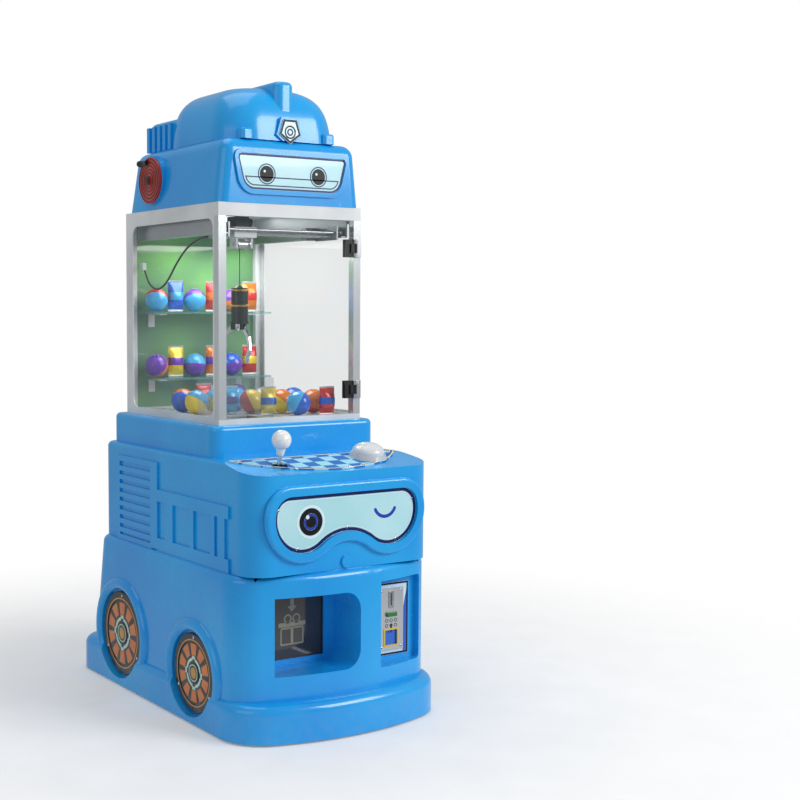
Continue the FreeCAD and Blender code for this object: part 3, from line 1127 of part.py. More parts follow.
def roof():
    """Roof moulding with its rear pack and visor surround, the dome with its crest, and their plates."""
    taper = S["roof_taper"]
    low = (cab_half - 1, cab_front + 1, cab_rear, cab_top)
    high = (cab_half - 1 - taper, cab_front + 1, cab_rear - taper, roof_top)
    mass = moulded("roof_mass", low, high, (26, 40), 30)
    hollow = moulded("roof_hollow", low, high, (26, 40), 30, None, WALL, 1)
    pack_low, pack_high = (148, -96, 292, roof_top - 40), (142, -104, 284, roof_top + 76)
    pack = moulded("pack_mass", pack_low, pack_high, (24, 30), 12)
    pack_hollow = moulded("pack_hollow", pack_low, pack_high, (24, 30), 12, None, WALL)
    ribs = []
    for n in range(5):
        for side, sign in SIDES:
            x = (143, 151) if sign > 0 else (-151, -143)
            ribs.append(box(f"pack_rib_{n}_{side}", x, (150 + 28 * n, 164 + 28 * n),
                            (roof_top + 4, roof_top + 66)))
    face = -float(low[1])
    ring = visor_slab(face - 6, 11, 8.0).cut(visor_slab(face - 7, 0.3, 10.0))
    bosses = []
    for side, sign in SIDES:
        bosses.append(side_cylinder(f"disc_boss_{side}", sign, cab_half - 20, 20, S["disc_back"],
                                    cab_top + S["disc_height"], S["disc_radius"] + 4))
    outside = fuse("roof_outside", mass, pack, *ribs, feature("visor_ring", ring), *bosses)
    node(cut("roof_solid", outside, fuse("roof_inside", hollow, pack_hollow)), "roof_shell")
    visor = feature("visor_plate", visor_slab(face - 3, 0, 3.0))
    discs = []
    for side, sign in SIDES:
        height = cab_top + S["disc_height"]
        disc = side_cylinder(f"reel_{side}", sign, cab_half, 6, S["disc_back"], height, S["disc_radius"])
        hub = side_cylinder(f"reel_hub_{side}", sign, cab_half + 5, 4, S["disc_back"], height, 12)
        nozzle = cylinder(f"reel_nozzle_{side}", 6,
                          (sign * (cab_half + 7), S["disc_back"] + 8,
                           height + S["disc_radius"] - 12), 42, "y")
        discs.append(fuse(f"reel_solid_{side}", disc, hub, nozzle))
    node(group("reel_group", *discs), "roof_discs")
    # dome: sits on the roof's top face and is cut away where the pack comes through its rear
    seat = roof_top
    dome, dome_hollow = dome_loft("dome_mass", 0), dome_loft("dome_hollow", float(WALL))
    crest_top = S["dome_top"] + S["crest_rise"]
    crest_block = box("crest_block", (-26, 26), (-136, 4), (seat + 60, crest_top))
    crest = soft_block("crest", crest_block, 20, 12)
    ears = []
    for side, sign in SIDES:
        ear = box(f"dome_ear_block_{side}", (sign * 112 - 16, sign * 112 + 16), (-152, -96),
                  (seat, seat + 24))
        ears.append(soft_block(f"dome_ear_{side}", ear, 9, 6))
    boss = feature("badge_boss", badge_prism(-152, 60, 6))
    below = box("dome_seat_cut", (-300, 300), (-300, 400), (seat - 80, seat))
    pack_room = moulded("pack_room", pack_low, pack_high, (24, 30), 12, None, -GAP)
    outside = fuse("dome_outside", dome, crest, boss, *ears)
    node(cut("dome_solid", outside, dome_hollow, pack_room, below), "roof_dome")
    node(group("roof_plate_group", visor, feature("badge_block", badge_prism(-154.5, 2.5, 0))),
         "roof_panels")


# ---------------------------------------------------------------- prizes
def prizes():
    """Generic prizes: capsule balls and small boxes on the deck and the shelves."""
    capsule, crate = 30, 46

    def ball(name, x, y, floor):
        item = doc.addObject("Part::Sphere", name)
        bind(item, "Radius", capsule)
        return place(item, x, y, floor + GAP + capsule)

    def packet(name, x, y, floor, tall):
        return box(name, (x - crate / 2, x + crate / 2), (y - 16, y + 16),
                   (floor + GAP, floor + GAP + tall))

    # the deck stays clear round (105, 130), where the claw comes down at the far end of its travel
    deck_balls = [(-130, 60), (-66, 80), (-130, 130), (0, 20), (64, -20), (130, -60), (60, 60), (130, 30),
                  (10, 110), (20, 240), (90, 240), (60, -100)]
    deck_packets = [(-60, 20), (130, -118), (0, -60), (-60, 150)]
    balls = [ball(f"deck_ball_{n}", *spot, deck_top) for n, spot in enumerate(deck_balls)]
    packets = [packet(f"deck_packet_{n}", *spot, deck_top, 70) for n, spot in enumerate(deck_packets)]
    shelf_y = cab_rear - 56
    for n, floor in enumerate((S["shelf_lower"], S["shelf_upper"])):
        for k in range(3):
            balls.append(ball(f"shelf_ball_{n}_{k}", -140 + 110 * k, shelf_y, floor))
            packets.append(packet(f"shelf_packet_{n}_{k}", -85 + 110 * k, shelf_y, floor, 80))
    node(group("ball_group", *balls), "prize_capsules")
    node(group("packet_group", *packets), "prize_packets")


# ---------------------------------------------------------------- build and export
def build():
    makers = (base_shell, base_pan_and_feet, wheel_discs, body_shell, goggle_panel, service_door,
              power_inlet, control_box, prize_outlet, coin_entry, controls, cabinet, front_door,
              crane, cable, claw, roof, prizes)
    for make in makers:
        make()
    node(group("screw_group", *SCREWS), "trim_screws")
    node(group("hinge_group", *LEAVES, *PINS), "fixed_hinges")
    doc.recompute()
    for item in doc.Objects:
        if "Invalid" in item.State or "Error" in item.State:
            raise RuntimeError(f"{item.Name} failed to compute: {item.State}")
    for item in NODES:
        if item.Shape.isNull() or not item.Shape.isValid():
            raise RuntimeError(f"{item.Label} has no valid shape")
    os.makedirs("parts", exist_ok=True)
    for item in NODES:
        item.Shape.exportStep(f"parts/{item.Label}.step")


build()
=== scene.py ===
"""Claw crane machine: finishes, printed panels, fixings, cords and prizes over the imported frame.

Metres, +Z up, the front faces -Y. Each operator dresses one group of pieces; the panel in the
sidebar lists them in the order in which they run.
"""

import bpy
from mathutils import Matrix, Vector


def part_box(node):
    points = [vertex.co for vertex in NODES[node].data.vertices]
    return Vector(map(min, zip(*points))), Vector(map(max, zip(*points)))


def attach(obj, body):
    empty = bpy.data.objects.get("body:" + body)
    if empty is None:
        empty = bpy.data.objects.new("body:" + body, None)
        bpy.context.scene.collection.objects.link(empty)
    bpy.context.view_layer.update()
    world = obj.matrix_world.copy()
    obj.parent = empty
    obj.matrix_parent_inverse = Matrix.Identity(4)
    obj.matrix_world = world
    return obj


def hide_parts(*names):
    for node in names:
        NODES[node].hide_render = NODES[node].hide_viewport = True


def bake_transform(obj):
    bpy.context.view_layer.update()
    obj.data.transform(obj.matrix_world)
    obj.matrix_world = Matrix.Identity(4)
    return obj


bl_info = {
    "name": "Claw Crane Machine",
    "version": (1, 0, 0),
    "blender": (4, 5, 0),
    "location": "3D View > Sidebar > Crane",
    "description": "Dresses the packed claw crane machine with finishes, prints and prizes",
    "category": "Object",
}

import math
import random

import bmesh
import bpy
from bpy.props import FloatProperty, FloatVectorProperty, IntProperty, PointerProperty
from mathutils import Matrix, Vector

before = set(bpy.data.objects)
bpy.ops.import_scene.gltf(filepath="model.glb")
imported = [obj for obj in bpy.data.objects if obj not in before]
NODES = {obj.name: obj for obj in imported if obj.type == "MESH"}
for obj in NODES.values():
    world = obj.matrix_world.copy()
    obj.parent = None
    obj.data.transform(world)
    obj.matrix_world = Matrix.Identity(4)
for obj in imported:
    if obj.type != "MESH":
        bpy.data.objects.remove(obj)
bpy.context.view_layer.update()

SLOPE_ANGLE = math.radians(9)
FRONT = Vector((0, -1, 0))
SLOPE_NORMAL = Vector((0, -math.sin(SLOPE_ANGLE), math.cos(SLOPE_ANGLE)))
SLOPE_UP = Vector((0, math.cos(SLOPE_ANGLE), math.sin(SLOPE_ANGLE)))
MADE = "crane_"  # starts the names of the materials made here, apart from the frame's own
LIFT = 0.00008  # how far a print stands off the face it is on
GLINT_LIFT = 0.0005  # the same for a highlight, over the print under it
GLASS_IOR = 1.5
WELL_DEPTH = 0.0015  # the sunk middle of a wheel disc
DISC_FACE = 0.202  # the roof discs' outer faces, from the middle of the machine
NOZZLE_OUT = 0.203  # the nozzles' axes, from the middle of the machine
PANEL_STEP = 0.0033  # the moulding's level below the control panel
CLAW_BAND_RADIUS = 0.0202
BADGE_FOOT, VISOR_BACK = 1.30, -0.16  # these part the roof's three panels
LARGE_DISC_AT = (-0.096, 0.004)  # on the face panel, from its middle
CABINET_LIGHT = 1.6  # watts
CAMERA_PLACE = (-1.710, -2.790, 0.933)
CAMERA_TURN = (math.radians(90 - 3.83), 0, math.radians(-31.83))
CAMERA_SHIFT = 0.17125

# the signal cable's route, from the clip on the back post to the bridge
CABLE_ROUTE = (
    (-0.166, 0.262, 1.032), (-0.163, 0.252, 1.004), (-0.160, 0.226, 0.985), (-0.157, 0.194, 0.985),
    (-0.1545, 0.166, 1.000), (-0.1525, 0.142, 1.024), (-0.151, 0.116, 1.050), (-0.150, 0.086, 1.072),
    (-0.150, 0.054, 1.088), (-0.150, 0.020, 1.098), (-0.150, -0.012, 1.103), (-0.150, -0.0387, 1.104),
)


# ---------------------------------------------------------------- what a user may change
def colour_prop(label, text, default):
    return FloatVectorProperty(name=label, description=text, default=default, subtype="COLOR",
                               size=3, min=0.0, max=1.0)


def length_prop(label, text, default):
    return FloatProperty(name=label, description=text, default=default, min=0.0, unit="LENGTH",
                         precision=5)


def power_prop(label, text, default):
    return FloatProperty(name=label, description=text, default=default, unit="POWER")


class CraneColours(bpy.types.PropertyGroup):
    """Colours of the mouldings and prints."""

    moulding: colour_prop("Moulding", "Blue of the moulded shells", (0.004, 0.325, 0.82))
    faded: colour_prop("Moulding, faded", "Blue where the moulding has thinned or faded",
                       (0.008, 0.41, 0.88))
    navy: colour_prop("Navy ink", "Outlines of the face and roof panels", (0.004, 0.012, 0.11))
    face: colour_prop("Face ground", "Pale ground of the face and roof panels", (0.46, 0.80, 0.86))
    ink: colour_prop("Black ink", "Dark discs, tyre prints and the coin panel's outline",
                     (0.008, 0.008, 0.010))
    orange: colour_prop("Orange ink", "Wheel segments", (0.66, 0.15, 0.025))
    gold: colour_prop("Gold ink", "Wheel rings", (0.60, 0.30, 0.05))
    mint: colour_prop("Pale ink", "Inner ring of each wheel", (0.50, 0.72, 0.60))
    red: colour_prop("Reel red", "Discs on the sides of the roof", (0.50, 0.02, 0.012))
    white: colour_prop("Cabinet white", "Powder coat of the cabinet", (0.66, 0.68, 0.68))


class CraneSizes(bpy.types.PropertyGroup):
    """Sizes of the prints and fixings."""

    film: length_prop("Print thickness", "Thickness of a printed film", 0.0003)
    outline: length_prop("Outline width", "Width of the outlines round the printed panels", 0.0078)
    eye: length_prop("Large disc", "Radius of the dark disc on the face panel", 0.030)
    roof_eye: length_prop("Small disc", "Radius of the dark discs on the roof panel", 0.0185)
    segments: IntProperty(name="Wheel segments", description="Orange blocks on each wheel",
                          default=10, min=3)
    tile: length_prop("Panel tile", "Size of the chequer on the control panel", 0.034)


class CraneStage(bpy.types.PropertyGroup):
    """Floor, lights and camera."""

    key: power_prop("Key light", "Power of the main light", 115.0)
    fill: power_prop("Fill light", "Power of the side light", 14.0)
    top: power_prop("Top light", "Power of the overhead light", 26.0)
    air: FloatProperty(name="Surroundings", description="Strength of the even light all round",
                       default=0.42)
    lens: FloatProperty(name="Lens", description="Focal length", default=60.57, unit="CAMERA")


# ---------------------------------------------------------------- node trees
def feed(tree, node, inputs):
    """Links or sets a node's inputs by name or number; a node stands for its first output."""
    for name, value in inputs.items():
        if isinstance(value, bpy.types.Node):
            value = value.outputs[0]
        if isinstance(value, bpy.types.NodeSocket):
            tree.links.new(value, node.inputs[name])
        else:
            node.inputs[name].default_value = value
    return node


def add(tree, kind, inputs=None, **settings):
    """Adds a node, sets its properties, then feeds its inputs."""
    made = tree.nodes.new(kind)
    for name, value in settings.items():
        setattr(made, name, value)
    return feed(tree, made, inputs or {})


def rgba(colour):
    return (*tuple(colour)[:3], 1.0)


def maths(tree, operation, *values):
    return add(tree, "ShaderNodeMath", dict(enumerate(values)), operation=operation)


def xyz(tree, *values):
    return add(tree, "ShaderNodeCombineXYZ", dict(enumerate(values)))


def noise(tree, place, scale, detail, **more):
    return add(tree, "ShaderNodeTexNoise", {"Vector": place, "Scale": scale, "Detail": detail, **more})


def mapped(tree, value, low=0.0, high=1.0, to_low=0.0, to_high=1.0, **settings):
    """A value taken from one range to another."""
    return add(tree, "ShaderNodeMapRange", {"Value": value, "From Min": low, "From Max": high,
                                            "To Min": to_low, "To Max": to_high}, **settings)


def mixed(tree, share, first, second):
    """The colour between two others."""
    return add(tree, "ShaderNodeMix", {0: share, 6: first, 7: second}, data_type="RGBA").outputs[2]


def joined(tree, *nodes):
    """The geometry of several nodes as one."""
    whole = tree.nodes.new("GeometryNodeJoinGeometry")
    for node in nodes:
        tree.links.new(node.outputs[0], whole.inputs[0])
    return whole


def shared(tree, group, place, inputs):
    """One of the shared groups, at a place on the piece."""
    return add(tree, "ShaderNodeGroup", {"Place": place, **inputs}, node_tree=group)


def open_group(name, kind, inputs, outputs):
    """A new node group with the given sockets: (tree, the sockets it is given, its output node)."""
    tree = bpy.data.node_groups.new(name, kind)
    for label, socket, default in inputs:
        made = tree.interface.new_socket(name=label, in_out="INPUT", socket_type="NodeSocket" + socket)
        if default is not None:
            made.default_value = default
    for label, socket in outputs:
        tree.interface.new_socket(name=label, in_out="OUTPUT", socket_type="NodeSocket" + socket)
    return tree, tree.nodes.new("NodeGroupInput").outputs, tree.nodes.new("NodeGroupOutput")


def once(build):
    """Builds a node group when it is first asked for; the group takes its function's name."""
    def found():
        return bpy.data.node_groups.get(build.__name__) or build(build.__name__)
    return found


@once
def aged_surface(name):
    """Colour that drifts between fresh and faded, with dust gathering near the floor."""
    tree, given, result = open_group(name, "ShaderNodeTree", (
        ("Place", "Vector", None), ("Fresh", "Color", (0.5, 0.5, 0.5, 1)),
        ("Faded", "Color", (0.6, 0.6, 0.6, 1)), ("Dust", "Color", (0.42, 0.40, 0.37, 1)),
        ("Patch Scale", "Float", 7.0), ("Dust Height", "Float", 0.3), ("Dust Amount", "Float", 0.2)),
        (("Colour", "Color"), ("Dull", "Float")))
    drift = mapped(tree, noise(tree, given["Place"], given["Patch Scale"], 4.0), 0.35, 0.68)
    tone = mixed(tree, drift, given["Fresh"], given["Faded"])
    height = add(tree, "ShaderNodeSeparateXYZ", {0: given["Place"]}).outputs["Z"]
    low = mapped(tree, height, 0.0, given["Dust Height"], 1.0, 0.0)
    cloud = mapped(tree, noise(tree, given["Place"], 46.0, 6.0), 0.38, 0.72)
    dust = maths(tree, "MULTIPLY", maths(tree, "MULTIPLY", low, cloud), given["Dust Amount"])
    feed(tree, result, {"Colour": mixed(tree, dust, tone, given["Dust"]),
                        "Dull": maths(tree, "ADD", drift, dust)})
    return tree


@once
def fine_relief(name):
    """Height of a moulded or coated skin: fine grain over slow ripples."""
    tree, given, result = open_group(name, "ShaderNodeTree", (
        ("Place", "Vector", None), ("Grain Scale", "Float", 420.0), ("Ripple Scale", "Float", 18.0),
        ("Ripple", "Float", 0.5)), (("Height", "Float"),))
    grain = noise(tree, given["Place"], given["Grain Scale"], 3.0)
    slow = noise(tree, given["Place"], given["Ripple Scale"], 1.0)
    share = maths(tree, "MULTIPLY", slow, given["Ripple"])
    feed(tree, result, {"Height": maths(tree, "ADD", grain, share)})
    return tree


@once
def rub_marks(name):
    """Mask of thin scratches and handling marks."""
    tree, given, result = open_group(name, "ShaderNodeTree", (
        ("Place", "Vector", None), ("Scale", "Float", 60.0), ("Amount", "Float", 0.3)),
        (("Mask", "Float"),))
    masks = []
    for turn in (0.5, -0.9):
        laid = add(tree, "ShaderNodeMapping", {"Vector": given["Place"], "Scale": (1, 14, 1),
                                               "Rotation": (turn, turn * 0.6, turn)})
        masks.append(mapped(tree, noise(tree, laid, given["Scale"], 2.0), 0.66, 0.74))
    both = maths(tree, "MAXIMUM", *masks)
    feed(tree, result, {"Mask": maths(tree, "MULTIPLY", both, given["Amount"])})
    return tree


@once
def brushed_lines(name):
    """Streaks left by brushing or drawing metal along one direction."""
    tree, given, result = open_group(name, "ShaderNodeTree", (
        ("Place", "Vector", None), ("Stretch", "Vector", (1.0, 1.0, 1.0))), (("Streak", "Float"),))
    laid = add(tree, "ShaderNodeVectorMath", {0: given["Place"], 1: given["Stretch"]},
               operation="MULTIPLY")
    feed(tree, result, {"Streak": noise(tree, laid, 60.0, 5.0, Roughness=0.7)})
    return tree


def new_material(name):
    """An empty material: (material, its tree, the place on the piece)."""
    material = bpy.data.materials.new(name)
    material.use_nodes = True
    tree = material.node_tree
    tree.nodes.clear()
    return material, tree, add(tree, "ShaderNodeTexCoord").outputs["Object"]


def finish(name, fresh, faded=None, rough=0.3, spread=0.06, metallic=0.0, coat=0.0, patch=7.0,
           grain=420.0, ripple=0.5, relief=0.04, dust=0.0, dust_height=0.3, rub=0.2, stretch=None,
           glow=0.0, translucent=0.0, shine=0.5, tint=None, painted_shade_mask=None):
    """A material from the shared groups; tint(tree, place, colour) may print over its colour."""
    name = MADE + name
    if name in bpy.data.materials:
        return bpy.data.materials[name]
    material, tree, place = new_material(name)
    faded = faded or tuple(min(1.0, c * 1.12 + 0.004) for c in tuple(fresh)[:3])
    aged = shared(tree, aged_surface(), place, {
        "Fresh": rgba(fresh), "Faded": rgba(faded), "Patch Scale": patch, "Dust Height": dust_height,
        "Dust Amount": dust})
    colour, dull = aged.outputs["Colour"], aged.outputs["Dull"]
    if tint:
        colour = tint(tree, place, colour)
    marks = shared(tree, rub_marks(), place, {"Scale": 38.0, "Amount": rub})
    height = shared(tree, fine_relief(), place, {"Grain Scale": grain, "Ripple": ripple})
    if stretch:
        height = dull = shared(tree, brushed_lines(), place, {"Stretch": stretch})
        shade = mapped(tree, dull, to_low=0.72, to_high=1.12)
        colour = add(tree, "ShaderNodeHueSaturation", {"Value": shade, "Color": colour}).outputs[0]
    # where the named attribute is set the colour goes near-black: painted shade, as in a screw's cross
    # recess
    if painted_shade_mask:
        mask = add(tree, "ShaderNodeAttribute", attribute_name=painted_shade_mask).outputs["Fac"]
        colour = mixed(tree, mask, colour, (0.02, 0.02, 0.02, 1))
    base = mapped(tree, dull, to_low=max(0.02, rough - spread), to_high=rough + spread)
    shader = add(tree, "ShaderNodeBsdfPrincipled", {
        "Base Color": colour, "Roughness": maths(tree, "ADD", base, marks), "Metallic": metallic,
        "Coat Weight": coat, "Coat Roughness": 0.04, "Specular IOR Level": shine,
        "Normal": add(tree, "ShaderNodeBump", {"Height": height, "Strength": relief,
                                               "Distance": 0.0006})})
    if glow:
        feed(tree, shader, {"Emission Color": colour, "Emission Strength": glow})
    if translucent:
        feed(tree, shader, {"Subsurface Weight": translucent, "Subsurface Scale": 0.008})
    add(tree, "ShaderNodeOutputMaterial", {"Surface": shader})
    return material


def clear_sheet(name, colour, least, rough=0.02):
    """Clear glass or acrylic: nearly all see-through face on, bright reflections at a glance."""
    name = MADE + name
    if name in bpy.data.materials:
        return bpy.data.materials[name]
    material, tree, place = new_material(name)
    hazy = mapped(tree, noise(tree, place, 9.0, 5.0), 0.45, 0.8, rough, rough + 0.05)
    marks = shared(tree, rub_marks(), place, {"Scale": 30.0, "Amount": 0.12})
    # a face seen from inside the sheet bends light the other way
    back = add(tree, "ShaderNodeNewGeometry").outputs["Backfacing"]
    bend = mapped(tree, back, to_low=GLASS_IOR, to_high=1 / GLASS_IOR)
    glance = add(tree, "ShaderNodeFresnel", {"IOR": bend})
    shader = add(tree, "ShaderNodeBsdfPrincipled", {
        "Base Color": rgba(colour), "Roughness": maths(tree, "ADD", hazy, marks), "IOR": GLASS_IOR,
        "Specular IOR Level": 1.0, "Alpha": mapped(tree, glance, 0.04, 1.0, least, 0.75)})
    add(tree, "ShaderNodeOutputMaterial", {"Surface": shader})
    return material


# ---------------------------------------------------------------- shapes
def plane_at(origin, normal, up=(0, 0, 1)):
    """A frame on a face: u to the right and v up as the face is looked at, w outwards."""
    normal = Vector(normal).normalized()
    v = Vector(up) - Vector(up).dot(normal) * normal
    v.normalize()
    u = v.cross(normal)
    return Matrix.Translation(origin) @ Matrix((u, v, normal)).transposed().to_4x4()


def merged(node):
    """A CAD node's mesh as a merged bmesh copy."""
    mesh = bmesh.new()
    mesh.from_mesh(NODES[node].data)
    bmesh.ops.remove_doubles(mesh, verts=mesh.verts, dist=0.00002)
    return mesh


def islands(node):
    """Each separate solid of a node as (corner points, [(normal, area) of each face])."""
    mesh = merged(node)
    seen, found = set(), []
    for start in mesh.verts:
        if start in seen:
            continue
        stack, group = [start], []
        seen.add(start)
        while stack:
            vertex = stack.pop()
            group.append(vertex)
            for edge in vertex.link_edges:
                other = edge.other_vert(vertex)
                if other not in seen:
                    seen.add(other)
                    stack.append(other)
        faces = dict.fromkeys(face for vertex in group for face in vertex.link_faces)
        found.append(([v.co.copy() for v in group], [(f.normal.copy(), f.calc_area()) for f in faces]))
    mesh.free()
    return found


def box_of(points):
    low = Vector([min(p[n] for p in points) for n in range(3)])
    high = Vector([max(p[n] for p in points) for n in range(3)])
    return low, high


def face_loops(node, normal, up=(0, 0, 1), keep=None):
    """The outlines of a node's outermost flat face along normal: (its plane, loops, largest first)."""
    mesh = merged(node)
    normal = Vector(normal)
    flat = [f for f in mesh.faces if f.normal.dot(normal) > 0.995
            and (keep is None or keep(f.calc_center_median()))]
    top = max(f.calc_center_median().dot(normal) for f in flat)
    # in the mesh's order, so that each run goes round the outlines the same way
    chosen = dict.fromkeys(f for f in flat if f.calc_center_median().dot(normal) > top - 0.0004)
    links = {}
    for face in chosen:
        for edge in face.edges:
            if sum(1 for f in edge.link_faces if f in chosen) == 1:
                a, b = edge.verts
                links.setdefault(a, []).append(b)
                links.setdefault(b, []).append(a)
    loops, used = [], set()
    for start in links:
        if start in used:
            continue
        loop, here, before = [], start, None
        while here is not None and here not in used:
            used.add(here)
            loop.append(here.co.copy())
            onward = [v for v in links[here] if v is not before and v not in used]
            before, here = here, (onward[0] if onward else None)
        if len(loop) > 2:
            loops.append(loop)
    low, high = box_of([p for loop in loops for p in loop])
    middle = (low + high) / 2
    middle += normal * (top - middle.dot(normal))
    mesh.free()
    place = plane_at(middle, normal, up)
    back = place.inverted()
    flat_loops = [[tuple((back @ p)[:2]) for p in loop] for loop in loops]
    flat_loops.sort(key=lambda loop: -abs(area_of(loop)))
    return place, flat_loops


def area_of(loop):
    return sum(a[0] * b[1] - b[0] * a[1] for a, b in zip(loop, loop[1:] + loop[:1])) / 2


def gap_to(point, loop):
    """The distance from a point to a closed outline."""
    best = 1e9
    for a, b in zip(loop, loop[1:] + loop[:1]):
        run = (b[0] - a[0], b[1] - a[1])
        long = run[0] ** 2 + run[1] ** 2
        share = ((point[0] - a[0]) * run[0] + (point[1] - a[1]) * run[1]) / long if long else 0.0
        share = min(1.0, max(0.0, share))
        best = min(best, math.hypot(point[0] - a[0] - share * run[0], point[1] - a[1] - share * run[1]))
    return best


def corner_of(points, n):
    """A closed outline's corner: (its point, the way inwards if it runs anticlockwise, its openness)."""
    here = Vector(points[n])
    a = (here - Vector(points[n - 1])).normalized()
    b = (Vector(points[(n + 1) % len(points)]) - here).normalized()
    return (here, Vector((-(a + b).y, (a + b).x)).normalized(),
            math.sqrt(max(0.0, (1 + a.dot(b)) / 2)))


def drawn_in(loop, distance):
    """A closed outline moved inwards by a distance, without the loops this makes at tight corners."""
    points = [p for n, p in enumerate(loop) if math.dist(p, loop[n - 1]) > 0.0002]
    side = 1 if area_of(points) > 0 else -1
    result = []
    for n in range(len(points)):
        here, inward, openness = corner_of(points, n)
        moved = tuple(here + inward * side * distance / max(0.4, openness))
        if inward.length and gap_to(moved, points) > abs(distance) * 0.985:
            result.append(moved)
    return result


def circle(u, v, radius, count=48):
    return [(u + radius * math.cos(math.tau * n / count), v + radius * math.sin(math.tau * n / count))
            for n in range(count)]


def ring(u, v, outer, inner, count=48):
    return [circle(u, v, outer, count), circle(u, v, inner, count)]


def arc_band(u, v, inner, outer, start, end, steps=18):
    """Part of a ring with rounded ends, as an outline; angles in degrees."""
    turns = [math.radians(start + (end - start) * n / steps) for n in range(steps + 1)]
    half, middle = (outer - inner) / 2, (outer + inner) / 2

    def along(radius, angles, centre=(u, v)):
        return [(centre[0] + radius * math.cos(t), centre[1] + radius * math.sin(t)) for t in angles]

    def cap(t, first):
        centre = along(middle, [t])[0]
        return along(half, [first + math.pi * n / 6 for n in range(1, 6)], centre)

    return (along(outer, turns) + cap(turns[-1], turns[-1]) + along(inner, reversed(turns))
            + cap(turns[0], turns[0] + math.pi))


def round_box(u, v, wide, tall, radius, steps=5):
    outline = []
    for n, (su, sv) in enumerate(((1, 1), (-1, 1), (-1, -1), (1, -1))):
        cu, cv = u + su * (wide / 2 - radius), v + sv * (tall / 2 - radius)
        for k in range(steps + 1):
            turn = math.pi / 2 * (n + k / steps)
            outline.append((cu + radius * math.cos(turn), cv + radius * math.sin(turn)))
    return outline


def plain_mesh(item):
    """The evaluated object as a plain mesh; the object itself is removed."""
    bpy.context.view_layer.update()
    mesh = bpy.data.meshes.new_from_object(item.evaluated_get(bpy.context.evaluated_depsgraph_get()))
    bpy.data.objects.remove(item)
    return mesh


def piece(name, mesh, material, body="machine", stands_for=(), smooth=35):
    """A finished piece at the origin that rides on a body."""
    mesh.name = name
    if material is not None:
        if mesh.materials:
            mesh.materials.clear()
        for one in material if isinstance(material, (list, tuple)) else (material,):
            mesh.materials.append(one)
    mesh.shade_smooth()
    mesh.set_sharp_from_angle(angle=math.radians(smooth))
    item = bpy.data.objects.new(name, mesh)
    bpy.context.scene.collection.objects.link(item)
    if body is not None:
        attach(item, body)
    if stands_for:
        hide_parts(*stands_for)
    return item


def written(shape, mesh, outwards=True):
    """Writes a bmesh into a mesh and frees it, with its faces turned outwards if asked."""
    if outwards:
        bmesh.ops.recalc_face_normals(shape, faces=shape.faces)
    shape.to_mesh(mesh)
    shape.free()
    return mesh


def curve_mesh(curve):
    """A curve's plain mesh; the curve is removed."""
    holder = bpy.data.objects.new(curve.name + "_holder", curve)
    bpy.context.scene.collection.objects.link(holder)
    mesh = plain_mesh(holder)
    bpy.data.curves.remove(curve)
    return mesh


def welded(mesh):
    """Welds a mesh's doubled points and turns its faces outwards."""
    shape = bmesh.new()
    shape.from_mesh(mesh)
    bmesh.ops.remove_doubles(shape, verts=shape.verts, dist=0.000002)
    return written(shape, mesh)


def printed(name, loops, place, material, body="machine", slot=None, thick=None, lift=LIFT):
    """A thin printed or laid-on shape from closed outlines on a face; inner outlines are holes."""
    thick = thick or bpy.context.scene.crane_sizes.film
    curve = bpy.data.curves.new(name, "CURVE")
    curve.dimensions = "2D"
    curve.fill_mode = "BOTH"
    curve.extrude = thick / 2
    for loop in loops:
        spline = curve.splines.new("POLY")
        spline.points.add(len(loop) - 1)
        for point, (u, v) in zip(spline.points, loop):
            point.co = (u, v, 0, 1)
        spline.use_cyclic_u = True
    mesh = curve_mesh(curve)
    mesh.transform(place @ Matrix.Translation((0, 0, thick / 2 + lift)))
    return piece(name, welded(mesh), material, body)


def films(place, slot, *prints, body="machine"):
    """Several prints on one face: each a name, outlines, a material, then thickness and lift if set."""
    for name, loops, material, *more in prints:
        printed(name, loops, place, material, body, slot, *more)


def band(name, loop, near, far, place, material):
    """A thin line of even width that follows an outline, from near to far inside it."""
    thick = bpy.context.scene.crane_sizes.film
    line = drawn_in(loop, (near + far) / 2)
    side = 1 if area_of(line) > 0 else -1
    shape = bmesh.new()
    rows = []
    for n in range(len(line)):
        here, inward, openness = corner_of(line, n)
        reach = inward * side * ((far - near) / 2 / max(0.5, openness))
        rows.append([shape.verts.new(place @ Vector((*(here + reach * way), height)))
                     for way, height in ((-1, LIFT), (1, LIFT), (1, LIFT + thick), (-1, LIFT + thick))])
    for n, row in enumerate(rows):
        following = rows[(n + 1) % len(rows)]
        for k in range(4):
            shape.faces.new((row[k], row[(k + 1) % 4], following[(k + 1) % 4], following[k]))
    return piece(name, written(shape, bpy.data.meshes.new(name)), material, "machine")


def turn_round(shape, outline, place, around):
    """Turns (radius, height) points about an axis; ends on the axis close. The faces, row by row."""
    rows = []
    for radius, height in outline:
        spots = [(radius * math.cos(math.tau * n / around), radius * math.sin(math.tau * n / around),
                  height) for n in range(around if radius > 1e-6 else 1)]
        rows.append([shape.verts.new(place @ Vector(spot)) for spot in spots])
    faces = []
    for low, high in zip(rows, rows[1:]):
        corners = [dict.fromkeys((low[n % len(low)], low[(n + 1) % len(low)],
                                  high[(n + 1) % len(high)], high[n % len(high)]))
                   for n in range(around)]
        faces.append([shape.faces.new(list(loop)) for loop in corners if len(loop) > 2])
    return faces


def lathe(outline, place, around=40):
    """A turned mesh from (radius, height) points."""
    shape = bmesh.new()
    turn_round(shape, outline, Matrix(), around)
    mesh = written(shape, bpy.data.meshes.new("turned"))
    mesh.transform(place)
    return mesh


def dress(material, *names):
    """Gives CAD nodes their material."""
    for name in names:
        mesh = NODES[name].data
        mesh.materials.clear()
        mesh.materials.append(material)


